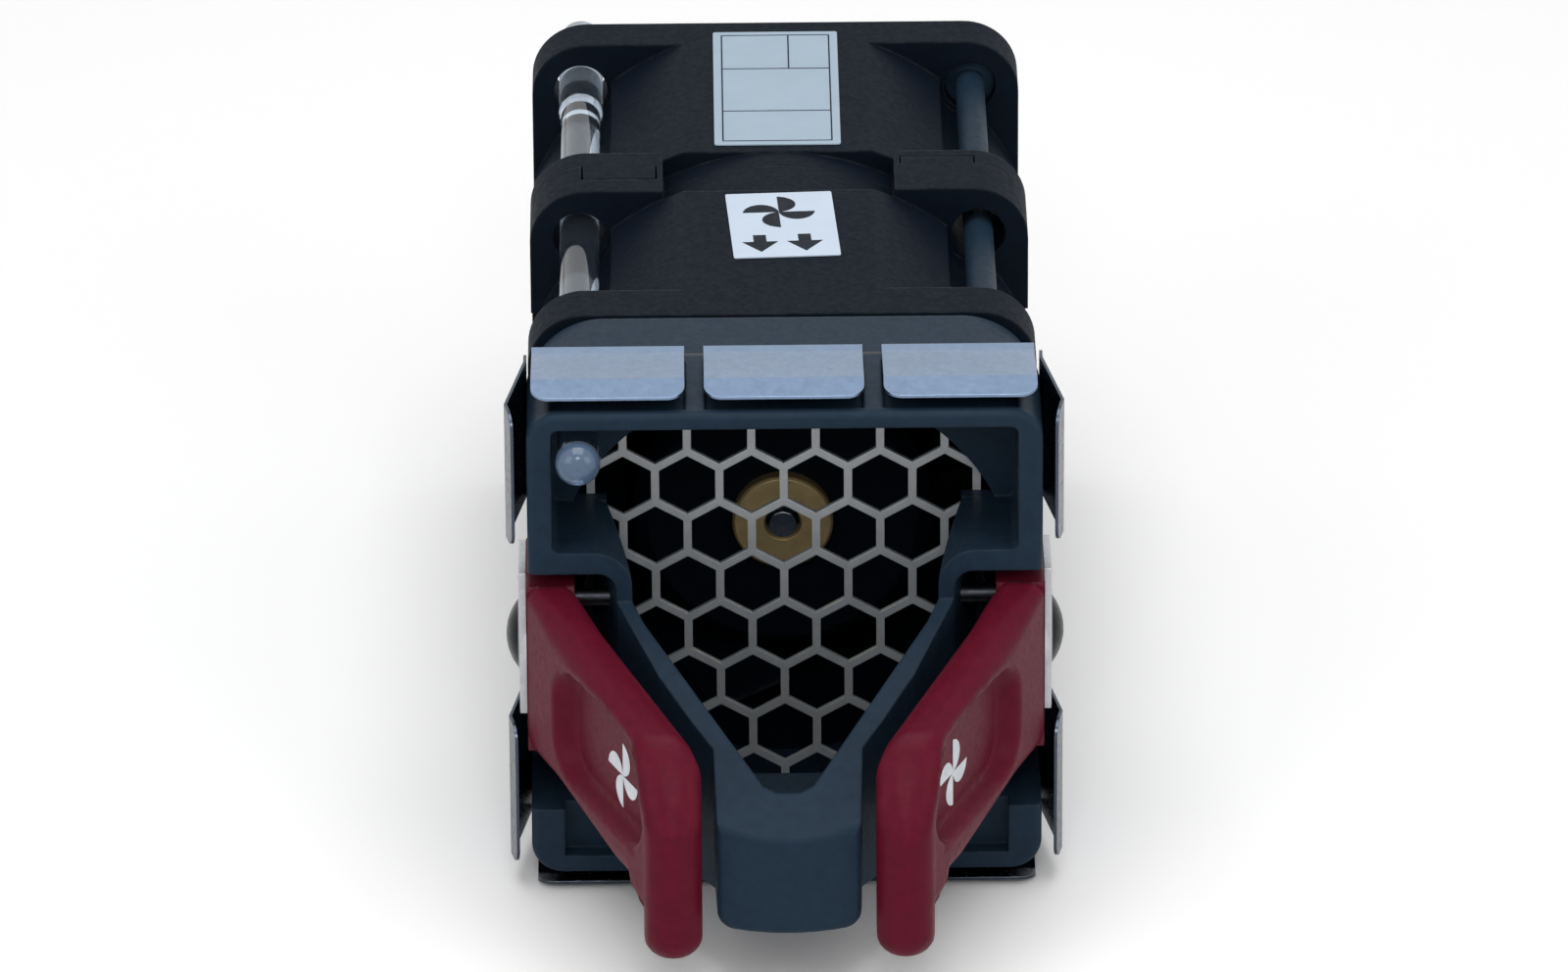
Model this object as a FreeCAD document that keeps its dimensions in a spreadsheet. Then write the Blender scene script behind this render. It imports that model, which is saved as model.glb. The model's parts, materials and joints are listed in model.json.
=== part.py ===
"""Hot-swap server fan module: a counter-rotating 40 mm fan pair behind a moulded bezel.

Frame: the origin is on the fan axis at the rear face of the fan.  -Y runs forward to the
squeeze grips, +Z is up, +X is to the right of someone who faces the grips.  Lengths are in
millimetres.  "Reach" is the distance forward of the rear face, so Y = -reach.
"""
import FreeCAD
import Part
import math
import os
import re
import Sketcher
from FreeCAD import Placement, Rotation, Vector

SIZES = {
    # working margins: a tool past what it cuts, and a shape into the one it joins
    "overcut": 1.0, "bite": 0.3,
    # fan pair
    "fan_side": 40.0, "half_depth": 28.0, "fan_corner": 4.5, "bore_radius": 18.6,
    "barrel_radius": 21.4, "front_flange": 4.6, "rear_flange": 4.25, "front_joint": 4.9, "rear_joint": 2.5,
    "hole_pitch": 32.0, "hole_radius": 2.15, "channel_depth": 1.37, "collar_radius": 19.9,
    "collar_half": 9.3, "base_radius": 12.2, "base_thick": 3.0, "strut_width": 1.6,
    "strut_count": 7.0, "strut_lean": 2.2, "lock_gap": 0.6, "lock_length": 6.4, "lock_depth": 2.0,
    "lock_slack": 0.15,
    # motor, one set in each half, places measured outward from the joint of the halves
    "tube_radius": 4.2, "tube_end": 18.9, "bearing_radius": 3.5, "bearing_width": 3.0,
    "bearing_start": 3.6, "shaft_radius": 1.5, "shaft_start": 0.6, "shaft_chamfer": 0.43,
    "shaft_end": 24.9, "run_gap": 0.04, "clip_radius": 2.7, "clip_thick": 0.35,
    "clip_start": 1.5, "clip_groove": 0.35, "clip_mouth": 1.05, "board_radius": 8.9, "board_thick": 0.9,
    "board_start": 3.5, "core_radius": 9.0, "core_start": 6.9, "core_length": 8.0,
    "core_ring": 1.3, "tooth_width": 1.8, "tooth_tip": 1.0, "slot_width": 1.5,
    "tooth_count": 6.0, "coil_thick": 0.85, "coil_clear": 0.3, "air_gap": 0.45,
    "magnet_thick": 0.85, "magnet_start": 5.6, "magnet_length": 11.5, "yoke_thick": 0.6,
    "yoke_start": 5.0, "yoke_end": 21.4, "yoke_floor": 0.6, "bush_radius": 4.0,
    "bush_start": 20.2, "bush_end": 24.6, "washer_thick": 0.25, "washer_rise": 0.6,
    "washer_radius": 3.0, "washer_clear": 0.15, "bush_chamfer": 0.2, "shaft_lead": 0.3,
    "shield_rim": 0.6, "shield_deep": 0.15, "race_wall": 0.5, "tooth_lip": 0.6,
    # impellers
    "hub_wall": 1.0, "hub_start": 4.6, "hub_end": 23.4, "hub_round": 1.2,
    "tip_gap": 0.4, "blade_start": 5.2, "blade_end": 23.0, "blade_thick": 0.95,
    "front_blades": 5.0, "rear_blades": 7.0, "root_angle": 44.0, "tip_angle": 62.0,
    "blade_camber": 1.5, "blade_root": 0.2, "blade_over": 1.2,
    # adapter ring and grille sheet
    "adapter_depth": 7.0, "adapter_corner": 6.0, "adapter_bevel": 0.6, "duct_radius": 18.4,
    "pipe_hole": 1.65, "sheet_thick": 0.4, "cell_pitch": 5.04, "cell_wall": 0.65,
    "cell_field": 19.0, "cell_margin": 1.9,
    # bezel
    "bezel_depth": 11.0, "bezel_corner": 2.5, "rim_round": 0.6, "mouth_round": 0.6, "top_wall": 1.3,
    "side_wall": 1.9, "web_thick": 1.2, "rail_top": 8.1, "rail_thick": 1.8,
    "floor_top": -12.8, "floor_thick": 1.5, "panel_recess": 1.5, "panel_wall": 1.5,
    "leg_half": 13.1, "leg_wall": 1.2, "leg_top": 3.9, "leg_fall": 0.465, "leg_flare": 2.0,
    "rail_round": 3.0, "rail_hollow": 1.5, "nose_edge": 0.7, "nose_foot": 1.4,
    "nose_half": 5.55, "nose_reach": 20.0, "nose_bulge": 1.3, "nose_step": 0.2,
    "cheek_half": 9.9, "cheek_reach": 6.7, "neck_half": 7.3, "neck_reach": 10.9,
    "throat_reach": 13.2, "opening_step": 2.1, "opening_start": 2.0, "opening_half": 1.95,
    "opening_reach": 16.5, "opening_tip": 0.9, "opening_end": 17.1,
    "bed_gap": 1.5, "bed_front": 0.9, "bed_length": 8.6, "bed_half": 6.15,
    "bed_depth": 0.75, "bed_rise": 0.8, "bed_inset": 1.0, "panel_side": 2.6,
    "panel_foot": 1.6, "panel_bite": 0.01,
    # spring fingers
    "finger_thick": 0.25, "finger_flare": 1.7, "finger_wrap": 0.8, "finger_reach": 10.0,
    "finger_crest": 7.6, "finger_hook": 0.5, "finger_gap": 1.5, "finger_middle": 12.4,
    "finger_edge": 0.4, "finger_corner": 1.4, "side_finger_low": 8.2, "low_finger_in": 5.7,
    "low_side_top": -7.5,
    # squeeze grips
    "grip_travel": 1.0, "grip_top": 5.0, "grip_low": -9.2, "grip_low_front": -11.6,
    "grip_thick": 3.8, "grip_gap": 1.3, "bar_low": -15.3, "bar_width": 4.5,
    "bar_clear": 1.15, "bar_reach": 20.2, "bar_start": 17.8, "bar_nose": 1.6, "bar_bow": 0.4,
    "grip_back": 0.5, "block_depth": 9.1, "block_front": 0.4,
    "block_low": -7.2, "slide_clear": 0.3, "recess_depth": 1.6, "recess_top": 2.0,
    "recess_low": -8.2, "recess_start": 3.4, "recess_end": 19.2, "recess_slant": 0.8,
    "recess_round": 1.5, "grip_round": 1.2, "bar_hollow": 3.2, "bar_foot": 2.1,
    "pin_radius": 0.8, "pin_length": 4.8, "pin_up": 2.7, "pin_down": -4.9,
    "pin_back": 3.4, "spring_thick": 0.2, "spring_width": 3.6, "spring_length": 10.8,
    "spring_clear": 0.03, "catch_thick": 0.6, "catch_width": 6.0,
    "catch_back": 0.3, "dimple_radius": 2.8, "dimple_rise": 1.03,
    "dimple_up": 0.8,
    # light pipe and fixing posts
    "pipe_radius": 1.6, "pipe_head": 1.8, "head_length": 9.0, "pipe_tail": 7.0,
    "pipe_front": 0.3, "pipe_taper": 1.0, "lens_radius": 1.75, "lens_dome": 0.75,
    "lens_back": 0.5, "lens_slope": 0.2, "post_radius": 1.2, "post_head": 2.05,
    "post_head_length": 3.0, "post_back": 0.4,
    # blind-mate connector
    "plug_half": 7.0, "plug_height": 6.2, "plug_length": 7.0, "plug_low": -19.6,
    "contact_count": 6.0, "contact_pitch": 2.0, "contact_width": 0.9, "contact_inset": 1.0,
    "socket_wall": 1.1, "socket_floor": 1.65,
}

HALF = "fan_side / 2"
HOLE = "hole_pitch / 2"
CHANNEL = "(sqrt(2) * hole_pitch / 2 - barrel_radius + channel_depth)"
PIPE_SPOT = ("-hole_pitch / 2", HOLE)
REACH_FLANGE = "(2 * half_depth)"
REACH_SHEET = "(2 * half_depth + adapter_depth)"
REACH_BOX = "(2 * half_depth + adapter_depth + sheet_thick)"
REACH_WEB = "(2 * half_depth + adapter_depth + sheet_thick + web_thick)"
REACH_RIM = "(2 * half_depth + adapter_depth + bezel_depth)"
POCKET_LOW = "(floor_top - floor_thick)"
LEG_INSIDE = "(leg_half - leg_wall)"
BAR_INSIDE = "(nose_half + bar_clear)"
BAR_OUTSIDE = "(nose_half + bar_clear + bar_width)"
BLOCK_INSIDE = "(leg_half + leg_flare + grip_gap)"
GRIP_SIDE = f"({BLOCK_INSIDE} + grip_thick)"
MAGNET_INSIDE = "(core_radius + air_gap)"
YOKE_INSIDE = "(core_radius + air_gap + magnet_thick)"
HUB_INSIDE = "(core_radius + air_gap + magnet_thick + yoke_thick)"
HUB_RADIUS = "(core_radius + air_gap + magnet_thick + yoke_thick + hub_wall)"

doc = FreeCAD.newDocument("FanModule")
sheet = doc.addObject("Spreadsheet::Sheet", "Sizes")
for row, (alias, size) in enumerate(SIZES.items(), 1):
    sheet.set(f"A{row}", alias)
    sheet.set(f"B{row}", str(size))
    sheet.setAlias(f"B{row}", alias)
doc.recompute()

parts = {}
NEAR = 1e-4  # millimetres within which two places are the same
WORD = re.compile(r"[a-z][a-z_]*")


# ---- expressions, sketches and features -------------------------------------------------

def bound(text):
    """The expression with each size name pointed at its cell in the sheet."""
    return WORD.sub(lambda m: "Sizes." + m.group() if m.group() in SIZES else m.group(), str(text))


def number(text):
    """The present value of an expression of sizes."""
    return float(sheet.evalExpression(bound(text)))


def bind(thing, **expressions):
    """Bind properties; a double underscore in a name stands for the dot of a path."""
    for name, text in expressions.items():
        thing.setExpression(name.replace("__", "."), bound(text))


def part(label, thing):
    """Register a finished sub-part under its own label."""
    thing.Label = label
    parts[label] = thing
    return thing


def new_body(label):
    body = doc.addObject("PartDesign::Body", label)
    body.Label = label
    return body


def new_sketch(body, plane, offset="0"):
    """A sketch on one of the body's own origin planes, moved along that plane's normal."""
    sketch = body.newObject("Sketcher::SketchObject", "Sketch")
    support = next(f for f in body.Origin.OriginFeatures if f.Role == plane + "_Plane")
    sketch.AttachmentSupport = [(support, "")]
    sketch.MapMode = "FlatFace"
    bind(sketch, AttachmentOffset__Base__z=offset)
    return sketch


def hold(sketch, kind, first, second, text):
    """A distance constraint bound to an expression; a negative one is measured backwards."""
    if number(text) < 0:
        first, second, text = second, first, f"-({text})"
    place = sketch.addConstraint(Sketcher.Constraint(kind, *first, *second, number(text)))
    sketch.setExpression(f"Constraints[{place}]", bound(text))


def hold_point(sketch, point, spot):
    hold(sketch, "DistanceX", (-1, 1), point, spot[0])
    hold(sketch, "DistanceY", (-1, 1), point, spot[1])


def arc_radius(start, end, rise):
    """Radius of the arc of a given rise over the chord between two corners."""
    chord = f"(({end[0]}) - ({start[0]}))^2 + (({end[1]}) - ({start[1]}))^2"
    return f"({chord}) / (8 * ({rise})) + ({rise}) / 2"


def outline(sketch, corners):
    """A closed outline.  A corner with a third value starts an arc of that outward rise."""
    spots = [Vector(number(c[0]), number(c[1]), 0) for c in corners]
    count = len(spots)
    area = sum(a.x * b.y - b.x * a.y for a, b in zip(spots, spots[1:] + spots[:1]))
    ends = []
    for i, corner in enumerate(corners):
        start, end = spots[i], spots[(i + 1) % count]
        if len(corner) == 2:
            line = sketch.addGeometry(Part.LineSegment(start, end), False)
            ends.append(((line, 1), (line, 2)))
            continue
        rise = number(corner[2]) * math.copysign(1, area)
        chord = end - start
        middle = (start + end) * 0.5 + Vector(chord.y, -chord.x, 0).normalize() * rise
        circle = Part.Circle(start, middle, end)
        first, last = (start, end) if rise > 0 else (end, start)
        angles = [math.atan2(p.y - circle.Center.y, p.x - circle.Center.x) for p in (first, last)]
        flat = Part.Circle(circle.Center, Vector(0, 0, 1), circle.Radius)
        arc = sketch.addGeometry(Part.ArcOfCircle(flat, *angles), False)
        ends.append(((arc, 1), (arc, 2)) if rise > 0 else ((arc, 2), (arc, 1)))
    for i, (corner, (first, last)) in enumerate(zip(corners, ends)):
        following = ends[(i + 1) % count][0]
        sketch.addConstraint(Sketcher.Constraint("Coincident", *last, *following))
        hold_point(sketch, first, corner)
        if len(corner) == 3:
            rise = corner[2] if number(corner[2]) > 0 else f"-({corner[2]})"
            text = arc_radius(corner, corners[(i + 1) % count], rise)
            place = sketch.addConstraint(Sketcher.Constraint("Radius", first[0], number(text)))
            sketch.setExpression(f"Constraints[{place}]", bound(text))


def oblong(sketch, low, high):
    """A rectangle between two opposite corners."""
    outline(sketch, [(low[0], low[1]), (high[0], low[1]), (high[0], high[1]), (low[0], high[1])])


def ring(sketch, centre, radius):
    """A full circle."""
    spot = Vector(number(centre[0]), number(centre[1]), 0)
    curve = sketch.addGeometry(Part.Circle(spot, Vector(0, 0, 1), number(radius)), False)
    hold_point(sketch, (curve, 3), centre)
    place = sketch.addConstraint(Sketcher.Constraint("Radius", curve, number(radius)))
    sketch.setExpression(f"Constraints[{place}]", bound(radius))


def extrude(body, kind, plane, span, draw):
    """A pad or pocket between two places along the normal of an origin plane.

    The normals are +Z for XY, +X for YZ and forward (-Y) for XZ, whose places are reaches.
    """
    low, high = span
    sketch = new_sketch(body, plane, low if kind == "Pad" else high)
    draw(sketch)
    feature = body.newObject("PartDesign::" + kind, kind)
    feature.Profile = sketch
    bind(feature, Length=f"({high}) - ({low})")
    before = body.Shape.Volume if kind == "Pocket" else 0
    doc.recompute()
    if kind == "Pocket" and body.Shape.Volume > before - 1e-6:
        raise ValueError(f"{body.Label}: {feature.Name} cuts nothing")
    return feature


def pad(body, plane, span, draw):
    return extrude(body, "Pad", plane, span, draw)


def pocket(body, plane, span, draw):
    return extrude(body, "Pocket", plane, span, draw)


def soften(body, kind, size, chosen):
    """A fillet or chamfer on the edges of the body's tip that a test chooses."""
    base = body.Tip
    names = [f"Edge{i}" for i, edge in enumerate(base.Shape.Edges, 1) if chosen(edge)]
    if not names:
        raise ValueError(f"{body.Label}: no edge for its {kind}")
    feature = body.newObject("PartDesign::" + kind, kind)
    feature.Base = (base, names)
    bind(feature, **{"Radius" if kind == "Fillet" else "Size": size})
    doc.recompute()
    return feature


def runs_along(edge, axis):
    """True for a straight edge parallel to one of the axes x, y or z."""
    span = [edge.BoundBox.XLength, edge.BoundBox.YLength, edge.BoundBox.ZLength]
    length = span.pop("xyz".index(axis))
    return max(span) < NEAR < length


def turn(label, corners):
    """A turned piece: a profile of (radius, Y) revolved about the fan axis."""
    body = new_body(label)
    sketch = new_sketch(body, "XY")
    outline(sketch, corners)
    feature = body.newObject("PartDesign::Revolution", "Revolution")
    feature.Profile = sketch
    feature.ReferenceAxis = (sketch, ["V_Axis"])
    feature.Angle = 360
    doc.recompute()
    return body


def repeat(body, features, count):
    """A polar pattern of features about the fan axis."""
    pattern = body.newObject("PartDesign::PolarPattern", "PolarPattern")
    pattern.Originals = features
    pattern.Axis = (features[-1].Profile[0], ["N_Axis"])
    pattern.Angle = 360
    bind(pattern, Occurrences=count)
    body.Tip = pattern
    doc.recompute()
    return pattern


# ---- primitives and booleans ------------------------------------------------------------

TURNED = {"x": Rotation(Vector(0, 1, 0), 90), "y": Rotation(Vector(1, 0, 0), -90), "z": Rotation()}


def block(x, y, z):
    """A box from three spans."""
    thing = doc.addObject("Part::Box", "Box")
    bind(thing, Length=f"({x[1]}) - ({x[0]})", Width=f"({y[1]}) - ({y[0]})",
         Height=f"({z[1]}) - ({z[0]})")
    bind(thing, Placement__Base__x=x[0], Placement__Base__y=y[0], Placement__Base__z=z[0])
    return thing


def rod(axis, radius, span, across):
    """A cylinder along an axis; across gives its place on the other two axes."""
    thing = doc.addObject("Part::Cylinder", "Cylinder")
    thing.Placement = Placement(Vector(), TURNED[axis])
    spots = list(across)
    spots.insert("xyz".index(axis), span[0])
    bind(thing, Radius=radius, Height=f"({span[1]}) - ({span[0]})")
    bind(thing, **{f"Placement__Base__{a}": spot for a, spot in zip("xyz", spots)})
    return thing


def join(*things):
    if len(things) == 1:
        return things[0]
    fused = doc.addObject("Part::MultiFuse", "Fusion")
    fused.Shapes = list(things)
    return fused


def cut(base, *tools):
    result = doc.addObject("Part::Cut", "Cut")
    result.Base = base
    result.Tool = join(*tools)
    return result


def overlap(first, second):
    result = doc.addObject("Part::MultiCommon", "Common")
    result.Shapes = [first, second]
    return result


def group(*things):
    """Separate solids kept together as one sub-part."""
    compound = doc.addObject("Part::Compound", "Group")
    compound.Links = list(things)
    return compound


# ---- bezel, adapter ring, grille and spring fingers -------------------------------------

def corners_at(distance):
    """The four corner places of the square hole pattern, as (x, z)."""
    return [(f"{a}({distance})", f"{b}({distance})") for a in ("", "-") for b in ("", "-")]


def ahead(distance):
    """Y of a place in front of the rim plane."""
    return f"-({REACH_RIM} + ({distance}))"


def square(sketch):
    oblong(sketch, (f"-{HALF}", f"-{HALF}"), (HALF, HALF))


def mirrored(corners):
    """A right-hand half outline continued by its mirror image, arcs included."""
    rises = [()] + [c[2:] for c in corners[:-1]]
    return corners + [(f"-({c[0]})", c[1], *rise) for c, rise in zip(corners[::-1], rises[::-1])]


def eased(corner, back, on, size, turn=""):
    """The two ends of the arc that rounds a square corner: back the way the outline came, and
    on the way it goes.  The turn is "-" at a corner that points into the outline."""
    ends = [[f"{c} + ({step}) * {size}" for c, step in zip(corner, way)] for way in (back, on)]
    return [(*ends[0], f"{turn}{size} * (1 - sqrt(0.5))"), tuple(ends[1])]


def leg_face(distance):
    """X of the outer face of a leg's wall, which flares toward the sheet, behind the rim."""
    return f"(leg_half + leg_flare * ({distance}) / ({REACH_RIM} - {REACH_WEB}))"


def bezel_box(body):
    """The open-fronted box, with its duct and the side pockets that hold the grips."""
    inner = f"{HALF} - side_wall"
    pad(body, "XZ", (REACH_BOX, REACH_RIM), square)
    soften(body, "Fillet", "bezel_corner", lambda e: runs_along(e, "y"))
    rim = -number(REACH_RIM)
    soften(body, "Fillet", "rim_round", lambda e: abs(e.BoundBox.YMin - rim) < NEAR
           and e.BoundBox.YLength < NEAR)
    rail = eased((LEG_INSIDE, "rail_top"), (0, -1), (1, 0), "rail_round", "-")
    low = eased((inner, "rail_top"), (-1, 0), (0, 1), "mouth_round")
    high = eased((inner, f"{HALF} - top_wall"), (0, -1), (-1, 0), "mouth_round")
    pocket(body, "XZ", (REACH_WEB, REACH_RIM), lambda s: outline(s, mirrored([
        (LEG_INSIDE, "floor_top"), *rail, *low, *high])))
    pocket(body, "XZ", (REACH_BOX, REACH_WEB), lambda s: ring(s, ("0", "0"), "duct_radius"))
    flared = f"{LEG_INSIDE} + leg_flare"
    pad(body, "XZ", (REACH_BOX, REACH_WEB), lambda s: outline(s, mirrored([
        (HALF, f"{POCKET_LOW} - overcut"), (HALF, "rail_top"), (flared, "rail_top"),
        (flared, "floor_top")])))
    pocket(body, "XY", ("floor_top", "rail_top"), lambda s: outline(s, mirrored([
        (LEG_INSIDE, ahead("0")), (flared, f"-{REACH_WEB}"), (flared, f"-{REACH_BOX}")])))
    for side in (1, -1):
        pocket(body, "XY", (POCKET_LOW, "rail_top - rail_thick"), lambda s: outline(s, [
            (sided(side, "leg_half"), ahead("0")), (sided(side, "leg_half"), ahead("overcut")),
            (sided(side, f"{HALF} + overcut"), ahead("overcut")),
            (sided(side, f"{HALF} + overcut"), f"-{REACH_WEB}"),
            (sided(side, "leg_half + leg_flare"), f"-{REACH_WEB}")]))
    ceiling, reach = number("rail_top - rail_thick"), number("leg_half + leg_flare + bite")
    soften(body, "Fillet", "rail_hollow", lambda e: abs(e.BoundBox.ZMin - ceiling) < NEAR
           and e.BoundBox.ZLength < NEAR and e.BoundBox.YLength > number("bezel_depth / 2")
           and max(-e.BoundBox.XMin, e.BoundBox.XMax) < reach)
    duct_trough(body, inner)


def duct_trough(body, inner):
    """The round bottom of the duct, and a cavity below it on each side."""
    front = f"{REACH_RIM} - panel_recess - panel_wall"
    side = f"sqrt(duct_radius^2 - {LEG_INSIDE}^2)"
    pocket(body, "XZ", (REACH_BOX, front), lambda s: outline(s, [
        (LEG_INSIDE, "floor_top + bite"), (f"-{LEG_INSIDE}", "floor_top + bite"),
        (f"-{LEG_INSIDE}", f"-{side}", f"duct_radius - {side}"), (LEG_INSIDE, f"-{side}")]))
    low, high = f"-{HALF} + top_wall", f"{POCKET_LOW} - panel_wall"
    ends = [f"sqrt((duct_radius + panel_wall)^2 - ({z})^2)" for z in (low, high)]
    pocket(body, "XZ", (REACH_BOX, front), lambda s: [outline(s, [
        (sided(way, ends[0]), low), (sided(way, inner), low), (sided(way, inner), high),
        (sided(way, ends[1]), high)]) for way in (1, -1)])


def finger_beds(body):
    """Shallow beds under the spring fingers, and the recessed panels low on the front."""
    near, far = ahead("-bed_front"), ahead("-bed_front - bed_length")
    edge = f"{HALF} - side_wall"
    inner = "bed_half + bed_gap"

    def top(sketch):
        oblong(sketch, ("-bed_half", near), ("bed_half", far))
        oblong(sketch, (inner, near), (edge, far))
        oblong(sketch, (f"-({edge})", near), (f"-({inner})", far))

    def bottom(sketch):
        oblong(sketch, ("low_finger_in + bed_inset", near), (edge, far))
        oblong(sketch, (f"-({edge})", near), ("-(low_finger_in + bed_inset)", far))

    pocket(body, "XY", (f"{HALF} - bed_depth", f"{HALF} + overcut"), top)
    pocket(body, "XY", (f"-{HALF} - overcut", f"-{HALF} + bed_depth"), bottom)
    for side in (1, -1):
        pocket(body, "YZ", side_span(side, f"{HALF} - bed_depth", f"{HALF} + overcut"),
               lambda s: oblong(s, (far, "side_finger_low + bed_rise"),
                                (near, f"{HALF} - top_wall - bed_inset")))

    def panels(sketch):
        out, low = f"{HALF} - panel_side", f"-{HALF} + panel_foot"
        for side in ("", "-"):
            oblong(sketch, (f"{side}(nose_half)", low), (f"{side}({out})", f"{POCKET_LOW} + panel_bite"))

    pocket(body, "XZ", (f"{REACH_RIM} - panel_recess", REACH_RIM), panels)


def bezel_bracket(body):
    """Two legs that close on a blunt nose, with a sloping top and an open window."""
    sides = [("leg_half", ahead("-bite")), ("leg_half", ahead("0")), ("cheek_half", ahead("cheek_reach")),
             ("neck_half", ahead("neck_reach")), ("nose_half + nose_step", ahead("throat_reach")),
             ("nose_half", ahead("nose_reach"))]
    sides[-1] += ("nose_bulge",)
    pad(body, "XY", (POCKET_LOW, "leg_top"), lambda s: outline(s, mirrored(sides)))
    pocket(body, "XY", ("floor_top", "leg_top"), lambda s: outline(s, mirrored([
        (LEG_INSIDE, ahead("-overcut")), (LEG_INSIDE, ahead("0")),
        ("leg_half - opening_step", ahead("opening_start")),
        ("opening_half", ahead("opening_reach")), ("opening_tip", ahead("opening_end"))])))
    tip = "nose_reach + nose_bulge + overcut"
    pocket(body, "YZ", (f"-{HALF}", HALF), lambda s: outline(s, [
        (ahead("0"), "leg_top"), (ahead("0"), "leg_top + overcut"), (ahead(tip), "leg_top + overcut"),
        (ahead(tip), f"leg_top - leg_fall * ({tip})")]))
    low, throat = number(POCKET_LOW), number(ahead("throat_reach")) + number("bite")
    soften(body, "Fillet", "nose_foot", lambda e: abs(e.BoundBox.ZMax - low) < NEAR
           and e.BoundBox.YMax < throat and e.BoundBox.XLength < number("nose_half"))
    face = number(ahead("nose_reach")) + number("bite")
    soften(body, "Fillet", "nose_edge", lambda e: e.BoundBox.YMax < face)


def bezel():
    body = new_body("bezel")
    bezel_box(body)
    finger_beds(body)
    bezel_bracket(body)
    pocket(body, "XZ", (REACH_BOX, REACH_WEB), lambda s: ring(s, PIPE_SPOT, "pipe_hole"))
    for side in (1, -1):
        span = side_span(side, LEG_INSIDE, "leg_half + leg_flare")
        pocket(body, "YZ", span, lambda s: [
            ring(s, (ahead("-pin_back"), up), "pin_radius") for up in ("pin_up", "pin_down")])
    return part("bezel", body)


def adapter_ring():
    body = new_body("adapter_ring")
    pad(body, "XZ", (REACH_FLANGE, REACH_SHEET), square)
    soften(body, "Fillet", "adapter_corner", lambda e: runs_along(e, "y"))
    rear = -number(REACH_FLANGE)
    soften(body, "Chamfer", "adapter_bevel", lambda e: abs(e.BoundBox.YMin - rear) < NEAR
           and e.BoundBox.YLength < NEAR)
    pocket(body, "XZ", (REACH_FLANGE, REACH_SHEET), lambda s: ring(s, ("0", "0"), "duct_radius"))

    def holes(sketch):
        for spot in corners_at(HOLE):
            lit = number(spot[0]) < 0 < number(spot[1])
            ring(sketch, spot, "pipe_hole" if lit else "post_radius")

    pocket(body, "XZ", (REACH_FLANGE, REACH_SHEET), holes)
    return part("adapter_ring", body)


def grille():
    """Square sheet with a honeycomb of upright cells inside a round field."""
    body = new_body("grille_sheet")
    pad(body, "XZ", (REACH_SHEET, REACH_BOX), square)
    soften(body, "Fillet", "bezel_corner", lambda e: runs_along(e, "y"))
    pocket(body, "XZ", (REACH_SHEET, REACH_BOX),
           lambda s: ring(s, PIPE_SPOT, "pipe_hole"))
    upright = Rotation(Vector(0, 0, 1), Vector(-1, 0, 0), Vector(0, -1, 0), "ZXY")
    reach = int(number("cell_field / cell_pitch")) + 1
    span = number("cell_field")
    cells = []
    for row in range(-reach, reach + 1):
        for column in range(-reach, reach + 1):
            x = f"cell_pitch * {column + (0.5 if row % 2 == 0 else 0.0)}"
            z = f"cell_pitch * {row} * sqrt(3) / 2"
            if math.hypot(number(x), number(z)) > span + number("cell_margin"):
                continue
            cell = doc.addObject("Part::Prism", "Cell")
            cell.Polygon = 6
            cell.Placement = Placement(Vector(), upright)
            bind(cell, Circumradius="(cell_pitch - cell_wall) / sqrt(3)",
                 Height="sheet_thick * 3", Placement__Base__x=x, Placement__Base__z=z,
                 Placement__Base__y=f"-({REACH_SHEET} - sheet_thick)")
            cells.append(cell)
    field = rod("y", "cell_field", (f"-{REACH_BOX} - overcut", f"-{REACH_SHEET} + overcut"), ("0", "0"))
    return part("grille", cut(body, overlap(join(*cells), field)))


def finger(label, span, turned):
    """A spring finger: a folded strip that leaves the edge of the sheet, flares forward and
    hooks back at its free end.  It is drawn on the top side and turned about the fan axis."""
    body = new_body(label)
    out = f"{HALF} + finger_flare - finger_thick"
    start, fold = f"-({REACH_SHEET} - finger_wrap)", f"-{REACH_BOX}"

    def profile(sketch):
        inner = [(start, HALF), (fold, HALF), (f"{fold} - finger_crest", out),
                 (f"{fold} - finger_reach", f"{out} - finger_hook")]
        outer = [(y, f"{z} + finger_thick") for y, z in reversed(inner)]
        outline(sketch, inner + outer)

    def free_corners(sketch):
        tip, size = f"{fold} - finger_reach", "finger_corner"
        for side, end in ((1, span[1]), (-1, span[0])):
            outline(sketch, [
                (end, f"{tip} + {size}", f"-{size} * (1 - sqrt(0.5))"),
                (f"{end} - {side} * {size}", tip), (f"{end} - {side} * {size}", f"{tip} - overcut"),
                (f"{end} + {side} * overcut", f"{tip} - overcut"),
                (f"{end} + {side} * overcut", f"{tip} + {size}")])

    pad(body, "YZ", span, profile)
    pocket(body, "XY", (HALF, f"{HALF} + finger_flare + overcut"), free_corners)
    body.Placement = Placement(Vector(), Rotation(Vector(0, 1, 0), turned))
    return part(label, body)


def spring_fingers():
    """Three fingers on top, two below and two on each side."""
    edge = f"{HALF} - finger_edge"
    half = "finger_middle / 2"
    near = f"{half} + finger_gap"
    finger("spring_finger_top_middle", (f"-({half})", half), 0)
    finger("spring_finger_top_right", (near, edge), 0)
    finger("spring_finger_top_left", (f"-({edge})", f"-({near})"), 0)
    finger("spring_finger_bottom_right", (f"-({edge})", "-low_finger_in"), 180)
    finger("spring_finger_bottom_left", ("low_finger_in", edge), 180)
    finger("spring_finger_right_upper", (f"-({edge})", "-side_finger_low"), 90)
    finger("spring_finger_right_lower", ("-low_side_top", edge), 90)
    finger("spring_finger_left_upper", ("side_finger_low", edge), -90)
    finger("spring_finger_left_lower", (f"-({edge})", "low_side_top"), -90)


# ---- squeeze grips, catch plates, guide pins and return springs -------------------------

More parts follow.
